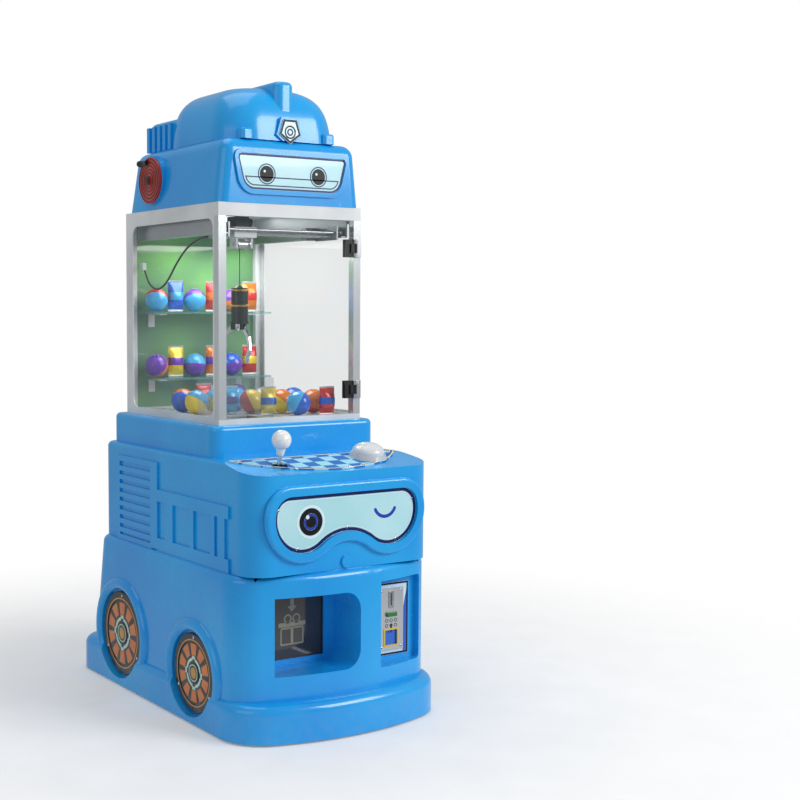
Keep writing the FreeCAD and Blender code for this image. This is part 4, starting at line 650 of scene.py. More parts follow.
# ---------------------------------------------------------------- repeated shapes
def run_tree(tree, values, points=None):
    """Runs a geometry tree on an empty or given mesh and returns the plain mesh it makes."""
    mesh = points or bpy.data.meshes.new("seed")
    holder = bpy.data.objects.new("tree_holder", mesh)
    bpy.context.scene.collection.objects.link(holder)
    modifier = holder.modifiers.new("field", "NODES")
    modifier.node_group = tree
    known = {s.name: s.identifier for s in tree.interface.items_tree
             if s.item_type == "SOCKET" and s.in_out == "INPUT"}
    for name, value in values.items():
        modifier[known[name]] = value
    return plain_mesh(holder)


def placed(tree, given, result, **inputs):
    """Ends a tree: an instance on every point, made real, in the material it is given."""
    field = add(tree, "GeometryNodeInstanceOnPoints", inputs)
    real = add(tree, "GeometryNodeRealizeInstances", {"Geometry": field})
    feed(tree, result, {0: add(tree, "GeometryNodeSetMaterial", {
        "Geometry": real, "Material": given["Material"]})})
    return tree


@once
def ring_of_blocks(name):
    """Tree: curved blocks repeated round a centre, as on a wheel's print."""
    tree, given, result = open_group(name, "GeometryNodeTree", (
        ("Geometry", "Geometry", None), ("Count", "Int", 10), ("Inner", "Float", 0.04),
        ("Outer", "Float", 0.07), ("Share", "Float", 0.7), ("Thickness", "Float", 0.0004),
        ("Material", "Material", None)), (("Geometry", "Geometry"),))
    grid = add(tree, "GeometryNodeMeshGrid", {"Size X": 1.0, "Size Y": 1.0, "Vertices X": 3,
                                              "Vertices Y": 9})
    spot = add(tree, "ShaderNodeSeparateXYZ", {0: add(tree, "GeometryNodeInputPosition")}).outputs
    reach = mapped(tree, spot["X"], -0.5, 0.5, given["Inner"], given["Outer"])
    step = maths(tree, "DIVIDE", math.tau, given["Count"])
    turn = maths(tree, "MULTIPLY", spot["Y"], maths(tree, "MULTIPLY", step, given["Share"]))
    bent = add(tree, "GeometryNodeSetPosition", {"Geometry": grid, "Position": xyz(
        tree, maths(tree, "MULTIPLY", reach, maths(tree, "COSINE", turn)),
        maths(tree, "MULTIPLY", reach, maths(tree, "SINE", turn)))})
    raised = add(tree, "GeometryNodeExtrudeMesh", {"Mesh": bent, "Offset Scale": given["Thickness"],
                                                   "Individual": False}, mode="FACES")
    whole = joined(tree, raised, add(tree, "GeometryNodeFlipFaces", {"Mesh": bent}))
    block = add(tree, "GeometryNodeMergeByDistance", {"Geometry": whole, "Distance": 0.000001})
    line = add(tree, "GeometryNodeMeshLine", {"Count": given["Count"], "Offset": (0, 0, 0)})
    order = maths(tree, "MULTIPLY", add(tree, "GeometryNodeInputIndex"), step)
    facing = add(tree, "FunctionNodeEulerToRotation", {0: xyz(tree, 0.0, 0.0, order)})
    return placed(tree, given, result, Points=line, Instance=block, Rotation=facing)


@once
def screw_heads(name):
    """Tree: a domed head on each point, along its stored direction and size, with a near-black cross
    painted on it as the shade of its recess.
    """
    tree, given, result = open_group(name, "GeometryNodeTree", (
        ("Geometry", "Geometry", None), ("Dome", "Float", 0.46), ("Recess Width", "Float", 0.24),
        ("Seed", "Int", 5), ("Material", "Material", None)), (("Geometry", "Geometry"),))

    def marked(shape, value):
        return add(tree, "GeometryNodeStoreNamedAttribute",
                   {"Geometry": shape, "Name": "recess", "Value": value},
                   data_type="FLOAT", domain="POINT")

    def stored(label, kind):
        return add(tree, "GeometryNodeInputNamedAttribute", {"Name": label}, data_type=kind)

    ball = add(tree, "GeometryNodeMeshUVSphere", {"Segments": 20, "Rings": 10, "Radius": 1.0})
    dome = add(tree, "GeometryNodeTransform", {"Geometry": ball,
                                               "Scale": xyz(tree, 1.0, 1.0, given["Dome"])})
    shift = xyz(tree, 0.0, 0.0, maths(tree, "SUBTRACT", given["Dome"], 0.14))
    width = given["Recess Width"]
    bars = [add(tree, "GeometryNodeTransform", {
        "Geometry": add(tree, "GeometryNodeMeshCube", {"Size": xyz(tree, *size)}),
        "Translation": shift}) for size in ((1.15, width, 0.3), (width, 1.15, 0.3))]
    # the cross's bars stand a little proud of the dome and carry the mark that paints them near-black:
    # painted shade of the cross recess
    head = joined(tree, marked(dome, 0.0), marked(joined(tree, *bars), 1.0))
    aimed = add(tree, "FunctionNodeAlignRotationToVector", {"Vector": stored("out", "FLOAT_VECTOR")},
                axis="Z")
    chance = add(tree, "FunctionNodeRandomValue", {"Seed": given["Seed"]}, data_type="FLOAT")
    spun = maths(tree, "MULTIPLY", chance.outputs[1], math.pi)
    about = add(tree, "FunctionNodeEulerToRotation", {0: xyz(tree, 0.0, 0.0, spun)})
    turned = add(tree, "FunctionNodeRotateRotation", {"Rotation": aimed, "Rotate By": about},
                 rotation_space="LOCAL")
    return placed(tree, given, result, Points=given["Geometry"], Instance=head, Rotation=turned,
                  Scale=stored("size", "FLOAT"))


# ---------------------------------------------------------------- operators
def side_plane(low, high):
    """The outer upright face of a part at the side of the machine: (its plane, its side, its radius)."""
    middle = (low + high) / 2
    side = 1 if middle.x > 0 else -1
    return (plane_at((high.x if side > 0 else low.x, middle.y, middle.z), (side, 0, 0)), side,
            (high.z - low.z) / 2)


class CRANE_OT_stage(bpy.types.Operator):
    """Floor, soft lights and the camera."""

    bl_idname = "crane.stage"
    bl_label = "Stage"

    def execute(self, context):
        scene, stage = context.scene, context.scene.crane_stage
        shape = bmesh.new()
        bmesh.ops.create_grid(shape, x_segments=4, y_segments=4, size=3.0)
        mesh = written(shape, bpy.data.meshes.new("floor"), outwards=False)
        floor = bpy.data.objects.new("floor", mesh)
        scene.collection.objects.link(floor)
        mesh.materials.append(self.fading_floor())
        for name, place, aim, wide, deep, power in (
                ("key_light", (2.3, -3.4, 2.6), (0, -0.2, 0.8), 2.4, 1.92, stage.key),
                ("side_light", (-3.6, -1.2, 1.7), (0, 0, 0.7), 2.6, 2.08, stage.fill),
                ("top_light", (-0.4, 0.3, 3.9), (0, 0, 0.6), 2.8, 2.24, stage.top),
                ("cabinet_light", (0.02, 0.10, 1.10), None, 0.26, 0.30, CABINET_LIGHT)):
            data = bpy.data.lights.new(name, "AREA")
            data.shape = "RECTANGLE"
            data.size, data.size_y, data.energy = wide, deep, power
            lamp = bpy.data.objects.new(name, data)
            lamp.location = place
            if aim:
                lamp.rotation_euler = (Vector(aim) - Vector(place)).to_track_quat("-Z", "Y").to_euler()
            scene.collection.objects.link(lamp)
        scene.world = self.air(stage.air)
        scene.view_settings.view_transform = "Standard"
        data = bpy.data.cameras.new("camera")
        data.lens, data.sensor_width, data.shift_x = stage.lens, 36.0, CAMERA_SHIFT
        data.clip_start, data.clip_end = 0.05, 60.0
        camera = bpy.data.objects.new("camera", data)
        camera.location = CAMERA_PLACE
        camera.rotation_euler = CAMERA_TURN
        scene.collection.objects.link(camera)
        scene.camera = camera
        return {"FINISHED"}

    @staticmethod
    def air(strength):
        """Even light all round, seen by the camera as plain white."""
        world = bpy.data.worlds.new("studio_air")
        world.use_nodes = True
        tree = world.node_tree
        tree.nodes.clear()
        seen = add(tree, "ShaderNodeBackground", {"Color": (1, 1, 1, 1), "Strength": 1.0})
        lit = add(tree, "ShaderNodeBackground", {"Color": (0.93, 0.96, 1.0, 1), "Strength": strength})
        rays = add(tree, "ShaderNodeLightPath").outputs["Is Camera Ray"]
        both = add(tree, "ShaderNodeMixShader", {0: rays, 1: lit, 2: seen})
        add(tree, "ShaderNodeOutputWorld", {"Surface": both})
        return world

    @staticmethod
    def fading_floor():
        """A white floor that thins out to nothing away from the machine."""
        material = finish("studio_floor", (0.96, 0.96, 0.96), rough=0.8, relief=0.0, rub=0.0)
        tree = material.node_tree
        shader = next(n for n in tree.nodes if n.type == "BSDF_PRINCIPLED")
        place = add(tree, "ShaderNodeTexCoord").outputs["Object"]
        away = add(tree, "ShaderNodeVectorMath", {0: place}, operation="LENGTH").outputs["Value"]
        feed(tree, shader, {"Alpha": mapped(tree, away, 0.45, 1.9, 0.8, 0.0,
                                            interpolation_type="SMOOTHSTEP")})
        return material


class CRANE_OT_cords(bpy.types.Operator):
    """The bridge's signal cable and the claw's hoist cord."""

    bl_idname = "crane.cords"
    bl_label = "Cords"

    def execute(self, context):
        sheath = finish("cable_sheath", (0.035, 0.020, 0.016), rough=0.42, grain=900.0, relief=0.12)
        braid = finish("hoist_braid", (0.05, 0.05, 0.05), rough=0.7, grain=2400.0, relief=0.5,
                       stretch=(30.0, 30.0, 60.0))
        low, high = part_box("hoist_cord")
        middle = (low + high) / 2
        hoist_route = [(middle.x, middle.y, high.z - (high.z - low.z) * n / 5) for n in range(6)]
        for name, route, radius, material, ends, facts in (
                ("signal_cable", CABLE_ROUTE, 0.0025, sheath, ("machine", "bridge"),
                 dict(length=0.362, stiffness="medium", lay="hanging", slot="cable_black",
                      node="bridge_cable")),
                ("claw_cord", hoist_route, 0.001, braid, ("trolley", "claw"),
                 dict(length=high.z - low.z, stiffness="limp", lay="taut", slot="cord_black",
                      node="hoist_cord"))):
            tube, line = self.tube(name, route, radius)
            item = piece(name, tube, material, None, (facts["node"],), smooth=60)
            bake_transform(item)
        return {"FINISHED"}

    @staticmethod
    def tube(name, route, radius):
        """The tube's mesh and the points of its centreline, both from one smooth spline."""
        meshes = []
        for thick in (radius, 0.0):
            curve = bpy.data.curves.new(name, "CURVE")
            curve.dimensions = "3D"
            curve.resolution_u = 12
            curve.bevel_depth, curve.bevel_resolution, curve.use_fill_caps = thick, 4, True
            spline = curve.splines.new("NURBS")
            spline.points.add(len(route) - 1)
            for point, place in zip(spline.points, route):
                point.co = (*place, 1)
            spline.order_u = 3
            spline.use_endpoint_u = True
            meshes.append(curve_mesh(curve))
        return welded(meshes[0]), [tuple(v.co) for v in meshes[1].vertices]


class CRANE_OT_mouldings(bpy.types.Operator):
    """The blue shells, the pan, the feet and the rear fittings."""

    bl_idname = "crane.mouldings"
    bl_label = "Mouldings"

    def execute(self, context):
        ink = context.scene.crane_colours
        dress(finish("blue_moulding", ink.moulding, ink.faded, rough=0.23, spread=0.05, coat=0.35,
                     patch=3.4, grain=520.0, ripple=1.2, relief=0.05, dust=0.10, dust_height=0.12,
                     rub=0.10), "base_shell", "body_shell", "roof_shell", "roof_dome")
        dress(finish("blue_sheet", ink.moulding, ink.faded, rough=0.36, coat=0.1, grain=700.0,
                     relief=0.08), "service_door")
        dress(finish("pan_coat", (0.03, 0.032, 0.035), rough=0.5, grain=600.0, relief=0.2, dust=0.6,
                     dust_height=0.05), "base_pan")
        dress(finish("foot_rubber", (0.02, 0.02, 0.02), rough=0.75, grain=300.0, relief=0.3, dust=0.5,
                     dust_height=0.03), "levelling_feet")
        black = finish("black_plastic", (0.018, 0.018, 0.02), rough=0.42, grain=500.0, relief=0.18)
        dress(black, "power_inlet", "flap_frame", "coin_mech", "joystick_housing", "hoist_motor")
        dress(finish("grey_case", (0.34, 0.35, 0.36), rough=0.45, grain=600.0, relief=0.15), "control_box")
        dress(finish("galvanised", (0.42, 0.43, 0.44), rough=0.4, metallic=0.85, patch=22.0, spread=0.12),
              "prize_chute", "cash_box")
        dress(finish("lock_chrome", (0.72, 0.72, 0.74), rough=0.1, metallic=1.0), "service_lock")
        dress(finish("plated_steel", (0.52, 0.53, 0.55), rough=0.28, metallic=1.0,
                     stretch=(4.0, 4.0, 60.0)), "fixed_hinges")
        return {"FINISHED"}


class CRANE_OT_screws(bpy.types.Operator):
    """Domed heads with a near-black cross painted on them as the shade of a cross recess, in place of the
    plain screw heads.
    """

    bl_idname = "crane.screws"
    bl_label = "Screws"

    def execute(self, context):
        # the recess mark paints a near-black cross on each head: painted shade of its cross recess
        steel = finish("screw_steel", (0.66, 0.66, 0.68), rough=0.16, metallic=1.0, painted_shade_mask="recess")
        spots, aims, sizes = [], [], []
        for points, faces in islands("trim_screws"):
            low, high = box_of(points)
            middle = (low + high) / 2
            normal = max(faces, key=lambda face: face[1])[0]
            outward = normal.x * middle.x + normal.y * middle.y + 0.5 * normal.z
            normal = normal if outward > 0 else -normal
            depths = [(p - middle).dot(normal) for p in points]
            spread = max(((p - middle) - (p - middle).dot(normal) * normal).length for p in points)
            spots.append(middle + normal * min(depths))
            aims.append(normal)
            sizes.append(spread)
        mesh = bpy.data.meshes.new("screw_points")
        mesh.from_pydata([tuple(p) for p in spots], [], [])
        mesh.attributes.new("out", "FLOAT_VECTOR", "POINT").data.foreach_set(
            "vector", [c for aim in aims for c in aim])
        mesh.attributes.new("size", "FLOAT", "POINT").data.foreach_set("value", sizes)
        made = run_tree(screw_heads(), {"Dome": 0.46, "Recess Width": 0.26, "Seed": 5,
                                        "Material": steel}, mesh)
        piece("screw_heads", made, None, "machine", ("trim_screws",))
        return {"FINISHED"}


class CRANE_OT_wheels(bpy.types.Operator):
    """Printed wheel discs: tyre, gold rings, orange blocks and a pale inner ring."""

    bl_idname = "crane.wheels"
    bl_label = "Wheels"

    def execute(self, context):
        ink, size = context.scene.crane_colours, context.scene.crane_sizes
        tyre = finish("tyre_print", ink.ink, (0.016, 0.016, 0.018), rough=0.34, coat=0.3, relief=0.08,
                      dust=0.3, dust_height=0.2)
        gold = finish("gold_print", ink.gold, rough=0.3, metallic=0.35, coat=0.3)
        orange = finish("orange_print", ink.orange, (0.74, 0.24, 0.04), rough=0.34, coat=0.3,
                        patch=30.0)
        mint = finish("pale_print", ink.mint, rough=0.34, coat=0.3)
        dress(tyre, "wheel_discs")
        for n, (points, _) in enumerate(islands("wheel_discs")):
            rim, _, radius = side_plane(*box_of(points))
            well = rim @ Matrix.Translation((0, 0, LIFT - WELL_DEPTH))
            printed(f"wheel_{n}_gold_ring", ring(0, 0, radius * 0.845, radius * 0.812, 72), rim, gold,
                    slot="wheel_print")
            for label, count, inner, outer, share, films_thick, turn, material in (
                    ("blocks", size.segments, 0.44, 0.735, 0.68, 1, 18, orange),
                    ("arcs", 4, 0.30, 0.375, 0.74, 1, 45, mint),
                    ("studs", 4, 0.345, 0.425, 0.24, 2, 0, mint)):
                mesh = run_tree(ring_of_blocks(), {
                    "Count": count, "Inner": radius * inner, "Outer": radius * outer, "Share": share,
                    "Thickness": size.film * films_thick, "Material": material})
                mesh.transform(well @ Matrix.Rotation(math.radians(turn), 4, "Z"))
                piece(f"wheel_{n}_{label}", mesh, None)
            cap = [(0, 0.0016), (0.006, 0.0014), (radius * 0.13, 0.0004), (radius * 0.14, 0.0), (0, 0.0)]
            piece(f"wheel_{n}_hub", lathe(cap, rim @ Matrix.Translation((0, 0, LIFT))), gold)
            printed(f"wheel_{n}_inner_ring", ring(0, 0, radius * 0.215, radius * 0.19), rim, mint,
                    slot="wheel_print")
        return {"FINISHED"}


class CRANE_OT_face(bpy.types.Operator):
    """The face panel, the roof panel and the badge: pale grounds, navy outlines and plain discs."""

    bl_idname = "crane.face"
    bl_label = "Face and roof panels"

    def execute(self, context):
        ink, size = context.scene.crane_colours, context.scene.crane_sizes
        ground = finish("face_ground", ink.face, (0.60, 0.88, 0.92), rough=0.22, coat=0.5, patch=5.0,
                        relief=0.02)
        navy = finish("navy_print", ink.navy, (0.006, 0.018, 0.14), rough=0.3, shine=0.35)
        dark = finish("dark_print", ink.ink, (0.010, 0.011, 0.014), rough=0.34, shine=0.25)
        sky = finish("sky_print", (0.75, 0.93, 0.97), rough=0.25, coat=0.4)
        blue = finish("mid_blue_print", (0.006, 0.035, 0.42), rough=0.25, coat=0.4)
        dress(ground, "goggle_panel", "roof_panels")
        place, (edge, *_) = face_loops("goggle_panel", FRONT)
        wide, eye = size.outline, size.eye
        band("face_outline", edge, 0.0008, wide, place, navy)
        band("face_inner_line", edge, wide + 0.0018, wide + 0.0032, place, sky)
        u, v = LARGE_DISC_AT
        films(place, "face_print",
              ("face_disc_halo", ring(u, v, eye * 1.22, eye * 1.03), sky),
              ("face_disc", ring(u, v, eye, eye * 0.62), dark),
              ("face_disc_iris", ring(u, v, eye * 0.60, eye * 0.44), blue),
              ("face_disc_core", [circle(u, v, eye * 0.43)], dark),
              ("face_disc_light", [circle(u - 0.009, v + 0.011, 0.0045, 24)], sky, None, GLINT_LIFT),
              ("face_lid", [arc_band(0.104, 0.030, 0.0260, 0.0335, 205, 335)], blue))

        def is_visor(centre):
            return centre.z < BADGE_FOOT and centre.y < VISOR_BACK

        def is_badge(centre):
            return centre.z > BADGE_FOOT

        place, (edge, *_) = face_loops("roof_panels", FRONT, keep=is_visor)
        band("roof_outline", edge, 0.0006, 0.0046, place, navy)
        band("roof_inner_line", edge, 0.0086, 0.0112, place, navy)
        eye = size.roof_eye
        for side in (-1, 1):
            u, v = side * 0.071, -0.004
            films(place, "face_print",
                  (f"roof_disc_ring_{side + 1}", ring(u, v, eye * 1.28, eye * 1.14), navy),
                  (f"roof_disc_{side + 1}", [circle(u, v, eye)], dark),
                  (f"roof_disc_light_{side + 1}", [circle(u - 0.006, v + 0.006, 0.003, 20)], sky,
                   None, GLINT_LIFT))
        place, (edge, *_) = face_loops("roof_panels", FRONT, keep=is_badge)
        band("badge_outline", edge, 0.0005, 0.0056, place, dark)
        v = -0.001
        films(place, "face_print",
              ("badge_ring", ring(0, v, 0.0155, 0.0118, 40), dark),
              ("badge_core", [circle(0, v, 0.0085, 32), circle(0, v, 0.0045, 24)], navy))
        return {"FINISHED"}


class CRANE_OT_reels(bpy.types.Operator):
    """Red discs on the roof's sides with coiled rings and a dark nozzle."""

    bl_idname = "crane.reels"
    bl_label = "Roof discs"

    def execute(self, context):
        ink = context.scene.crane_colours
        red = finish("reel_red", ink.red, (0.60, 0.035, 0.02), rough=0.32, coat=0.4, patch=24.0)
        dark = finish("reel_dark", (0.06, 0.006, 0.006), rough=0.4, coat=0.2)
        steel = finish("nozzle_dark", (0.02, 0.02, 0.022), rough=0.3, metallic=0.4)
        dress(red, "roof_discs")
        hub = [(0, 0.0052), (0.005, 0.0052), (0.0062, 0.0040), (0.0105, 0.0036), (0.0118, 0.0026),
               (0.0118, 0.0), (0, 0.0)]
        sleeve = [(0, 0.0), (0.0068, 0.0), (0.0072, 0.004), (0.0066, 0.006), (0.0066, 0.030),
                  (0.0078, 0.033), (0.0080, 0.044), (0.0056, 0.0452), (0, 0.0452)]
        for n, (points, _) in enumerate(islands("roof_discs")):
            low, high = box_of(points)
            side = 1 if low.x > 0 else -1
            z_mid, radius = (low.z + high.z) / 2, (high.z - low.z) / 2
            y_mid = low.y + radius
            rim = plane_at((side * DISC_FACE, y_mid, z_mid), (side, 0, 0))
            for k, share in enumerate((0.95, 0.80, 0.65, 0.50, 0.36)):
                printed(f"reel_{n}_ring_{k}", ring(0, 0, radius * share, radius * (share - 0.045), 64),
                        rim, dark, slot="disc_red", thick=0.0008)
            piece(f"reel_{n}_hub", lathe(hub, rim @ Matrix.Translation((0, 0, 0.0002))), steel)
            along = plane_at((side * NOZZLE_OUT, y_mid + 0.006, z_mid + radius - 0.012), (0, 1, 0))
            piece(f"reel_{n}_nozzle", lathe(sleeve, along, 28), steel)
        return {"FINISHED"}


class CRANE_OT_controls(bpy.types.Operator):
    """The chequered control panel, the joystick and the domed button."""

    bl_idname = "crane.controls"
    bl_label = "Controls"

    def execute(self, context):
        size = context.scene.crane_sizes

        def chequer(tree, place, colour):
            laid = add(tree, "ShaderNodeMapping", {
                "Vector": place, "Rotation": (-SLOPE_ANGLE, 0, 0), "Location": (0.003, 0.009, 0.02)})
            tiles = add(tree, "ShaderNodeTexChecker", {
                "Vector": laid, "Color1": (0.42, 0.78, 0.90, 1), "Color2": (0.010, 0.13, 0.50, 1),
                "Scale": 1.0 / size.tile})
            return mixed(tree, 0.86, colour, tiles)

        dress(finish("panel_print", (0.2, 0.5, 0.8), rough=0.5, shine=0.12, tint=chequer, rub=0.25),
              "control_panel")
        cream = finish("cream_line", (0.80, 0.76, 0.50), rough=0.25, coat=0.4)
        navy = bpy.data.materials[MADE + "navy_print"]
        place, (edge, *holes) = face_loops("control_panel", SLOPE_NORMAL, SLOPE_UP)
        band("panel_edge", edge, 0.0006, 0.0042, place, cream)
        band("panel_edge_line", edge, 0.0048, 0.0064, place, navy)
        for n, hole in enumerate(holes[:2]):
            band(f"panel_hole_ring_{n}", hole, -0.0060, -0.0034, place, navy)
        # the moulding closes in round the stick housing beyond the panel's front edge
        spot = min((self.centre(loop) for loop in holes), key=lambda centre: centre[0])
        printed("stick_surround", [round_box(*spot, 0.074, 0.074, 0.004), circle(*spot, 0.0205)],
                place @ Matrix.Translation((0, 0, -PANEL_STEP)),
                bpy.data.materials[MADE + "blue_moulding"], slot="blue_moulding")
        dress(finish("stick_chrome", (0.72, 0.72, 0.74), rough=0.1, metallic=1.0,
                     stretch=(60.0, 60.0, 4.0)), "joystick_shaft", "joystick_gimbal")
        dress(finish("knob_frosted", (0.90, 0.93, 0.94), rough=0.12, coat=0.8, translucent=0.5,
                     relief=0.02), "joystick_knob")
        dress(finish("button_white", (0.80, 0.81, 0.82), (0.72, 0.74, 0.76), rough=0.24, coat=0.4,
                     translucent=0.3), "drop_button")
        dress(finish("bezel_grey", (0.52, 0.54, 0.56), rough=0.3, coat=0.3, relief=0.05),
              "button_bezel")
        return {"FINISHED"}

    @staticmethod
    def centre(loop):
        return tuple((min(p[n] for p in loop) + max(p[n] for p in loop)) / 2 for n in range(2))


class CRANE_OT_coin_entry(bpy.types.Operator):
    """Printed coin panel, brushed plate with its marks, reject button and return flap."""

    bl_idname = "crane.coin_entry"
    bl_label = "Coin entry"

    def execute(self, context):
        pale = finish("coin_ground", (0.58, 0.78, 0.90), rough=0.24, coat=0.4)
        blue = finish("coin_blue", (0.012, 0.10, 0.55), rough=0.24, coat=0.4)
        black = bpy.data.materials[MADE + "dark_print"]
        yellow = finish("coin_yellow", (0.72, 0.52, 0.05), rough=0.3, coat=0.3)
        dress(pale, "coin_panel")
        dress(finish("coin_plate_steel", (0.68, 0.69, 0.70), rough=0.3, metallic=0.9,
                     stretch=(60.0, 60.0, 3.0)), "coin_plate")
        dress(finish("reject_green", (0.01, 0.16, 0.035), rough=0.3, coat=0.4), "coin_reject_button")
        dress(finish("return_blue", (0.02, 0.14, 0.62), rough=0.3, coat=0.3), "coin_return_flap")
        place, (edge, *_) = face_loops("coin_panel", FRONT)
        band("coin_outline", edge, 0.0006, 0.0048, place, black)
        low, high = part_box("coin_panel")
        wide, tall = high.x - low.x, high.z - low.z
        plate_low, plate_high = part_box("coin_plate")
        gap = (wide - (plate_high.x - plate_low.x)) / 2
        left, foot = -wide / 2 + 0.0052, -tall / 2 + 0.0052
        right = left + gap - 0.0062
        wedge = [(left, foot), (right, foot), (right, 0.018), (left, tall / 2 - 0.020)]
        films(place, "coin_print", ("coin_wedge_left", [wedge], blue),
              ("coin_wedge_right", [[(-u, v) for u, v in reversed(wedge)]], blue))
        middle = (plate_low + plate_high) / 2
        face = plane_at((middle.x, plate_low.y, middle.z), FRONT)

        def at(z):
            return z - middle.z

        v = at(0.269)
        bright = finish("slot_frame_steel", (0.45, 0.46, 0.48), rough=0.2, metallic=1.0)
        films(face, "coin_steel",
              ("slot_frame", [round_box(0, v, 0.0150, 0.040, 0.003),
                              round_box(0, v, 0.0052, 0.0316, 0.001)], bright, 0.0014),
              *((f"coin_mark_{row}_{column}",
                 ring((column - 1) * 0.0125, at(0.2205) - row * 0.0118, 0.0042, 0.0030, 24), black)
                for row in range(2) for column in range(3)),
              # the lower slot is a black film laid on the plate: painted shade standing in for the slot's
              # dark opening
              ("lower_slot", [round_box(0, at(0.190) + 0.012, 0.0034, 0.020, 0.0012)], black))
        foot, top = at(0.164), at(0.198)
        v, tall = (foot + top) / 2, top - foot
        films(face, "coin_steel",
              ("return_frame_yellow", [round_box(0, v, 0.0420, tall + 0.008, 0.003),
                                       round_box(0, v, 0.0346, tall + 0.0006, 0.001)], yellow, 0.0010))
        return {"FINISHED"}


class CRANE_OT_outlet(bpy.types.Operator):
    """The smoked prize flap with a plain box and arrow on it."""

    bl_idname = "crane.outlet"
    bl_label = "Prize outlet"

    def execute(self, context):
        dress(finish("smoked_acrylic", (0.030, 0.026, 0.022), (0.045, 0.040, 0.034), rough=0.10,
                     coat=0.8, relief=0.015, rub=0.25), "prize_flap")
        gold = finish("flap_print", (0.34, 0.30, 0.20), rough=0.4, coat=0.2)
        low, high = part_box("prize_flap")
        face = plane_at(((low.x + high.x) / 2, low.y, (low.z + high.z) / 2), FRONT)
        arrow = [(-0.005, 0.058), (0.005, 0.058), (0.005, 0.042), (0.0125, 0.042), (0.0, 0.0285),
                 (-0.0125, 0.042), (-0.005, 0.042)]
        films(face, "smoked_acrylic",
              ("flap_box", [round_box(0, -0.026, 0.062, 0.040, 0.003),
                            round_box(0, -0.026, 0.055, 0.033, 0.002)], gold),
              ("flap_box_lid", [round_box(0, 0.0005, 0.072, 0.010, 0.002)], gold),
              ("flap_box_band", [round_box(0, -0.026, 0.007, 0.0326, 0.001)], gold),
              *((f"flap_bow_{side + 1}", ring(side * 0.0115, 0.0135, 0.0105, 0.0070, 28), gold)
                for side in (-1, 1)),
              ("flap_arrow", [arrow], gold), body="prize_flap_leaf")
        return {"FINISHED"}


class CRANE_OT_cabinet(bpy.types.Operator):
    """White frames, aluminium posts, glass, the back print, the deck and the lamp."""

    bl_idname = "crane.cabinet"
    bl_label = "Cabinet"

    def execute(self, context):
        white = finish("cabinet_white", context.scene.crane_colours.white, (0.84, 0.86, 0.86),
                       rough=0.34, grain=800.0, relief=0.10, coat=0.1, rub=0.10)
        dress(white, "cabinet_frame", "side_frames", "shelf_brackets")
        dress(finish("post_aluminium", (0.74, 0.77, 0.78), rough=0.22, metallic=0.75,
                     stretch=(50.0, 50.0, 3.0), rub=0.0), "corner_posts")
        dress(clear_sheet("window_glass", (0.20, 0.28, 0.27), 0.06), "side_glass", "door_glass")
        dress(clear_sheet("shelf_glass", (0.18, 0.48, 0.48), 0.35), "glass_shelves")
        dress(clear_sheet("guard_acrylic", (0.40, 0.52, 0.56), 0.18, 0.04), "chute_guard")
        dress(finish("clamp_black", (0.012, 0.012, 0.014), rough=0.35, metallic=0.3), "door_clamps")
        dress(finish("back_print", (0.25, 0.4, 0.3), rough=0.12, coat=0.6, tint=self.leafy),
              "back_panel")
        dress(finish("deck_board", (0.62, 0.64, 0.64), (0.50, 0.52, 0.53), rough=0.3, patch=30.0),
              "prize_deck")
        dress(finish("lamp_tube", (0.95, 0.97, 1.0), rough=0.4, glow=1.6), "cabinet_lamp")
        return {"FINISHED"}

    @staticmethod
    def leafy(tree, place, colour):
        """Soft green blots, paler low down."""
        blots = add(tree, "ShaderNodeTexVoronoi", {"Vector": place, "Scale": 7.5, "Smoothness": 0.7},
                    feature="SMOOTH_F1").outputs["Distance"]
        green = mixed(tree, mapped(tree, blots, 0.15, 0.75), (0.16, 0.52, 0.07, 1),
                      (0.035, 0.16, 0.06, 1))
        rise = add(tree, "ShaderNodeSeparateXYZ", {0: place}).outputs["Z"]
        upper = mapped(tree, rise, 0.72, 1.12, 0.35, 0.9)
        return mixed(tree, 0.9, colour, mixed(tree, upper, (0.28, 0.42, 0.36, 1), green))


class CRANE_OT_crane(bpy.types.Operator):
    """Rails, bridge, trolley, drum, claw and fingers."""

    bl_idname = "crane.crane"
    bl_label = "Crane"

    def execute(self, context):
        dress(finish("rail_aluminium", (0.62, 0.63, 0.65), rough=0.3, metallic=0.9,
                     stretch=(60.0, 3.0, 60.0)), "bridge_rails", "hoist_drum")
        dress(finish("bridge_steel", (0.50, 0.51, 0.52), rough=0.26, metallic=0.9,
                     stretch=(3.0, 60.0, 60.0)), "bridge_frame", "bridge_axle_front", "bridge_axle_rear")
        dress(finish("trolley_white", (0.70, 0.71, 0.70), rough=0.4, grain=700.0, relief=0.12),
              "trolley_body")
        dress(finish("claw_black", (0.014, 0.014, 0.016), rough=0.28, coat=0.4), "claw_head")
        dress(finish("claw_chrome", (0.74, 0.74, 0.76), rough=0.08, metallic=1.0), "claw_plunger",
              "claw_finger_1", "claw_finger_2", "claw_finger_3")
        gold = finish("claw_band", (0.55, 0.33, 0.06), rough=0.25, metallic=0.9)
        low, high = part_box("claw_head")
        middle, radius = (low + high) / 2, CLAW_BAND_RADIUS
        hoop = [(radius, 0.0), (radius + 0.0008, 0.0006), (radius + 0.0008, 0.0044), (radius, 0.005),
                (radius - 0.0006, 0.005), (radius - 0.0006, 0.0), (radius, 0.0)]
        for n, rise in enumerate((high.z - 0.014, high.z - 0.050)):
            place = Matrix.Translation((middle.x, middle.y, rise))
            piece(f"claw_band_{n}", lathe(hoop, place, 48), gold, "claw")
        return {"FINISHED"}


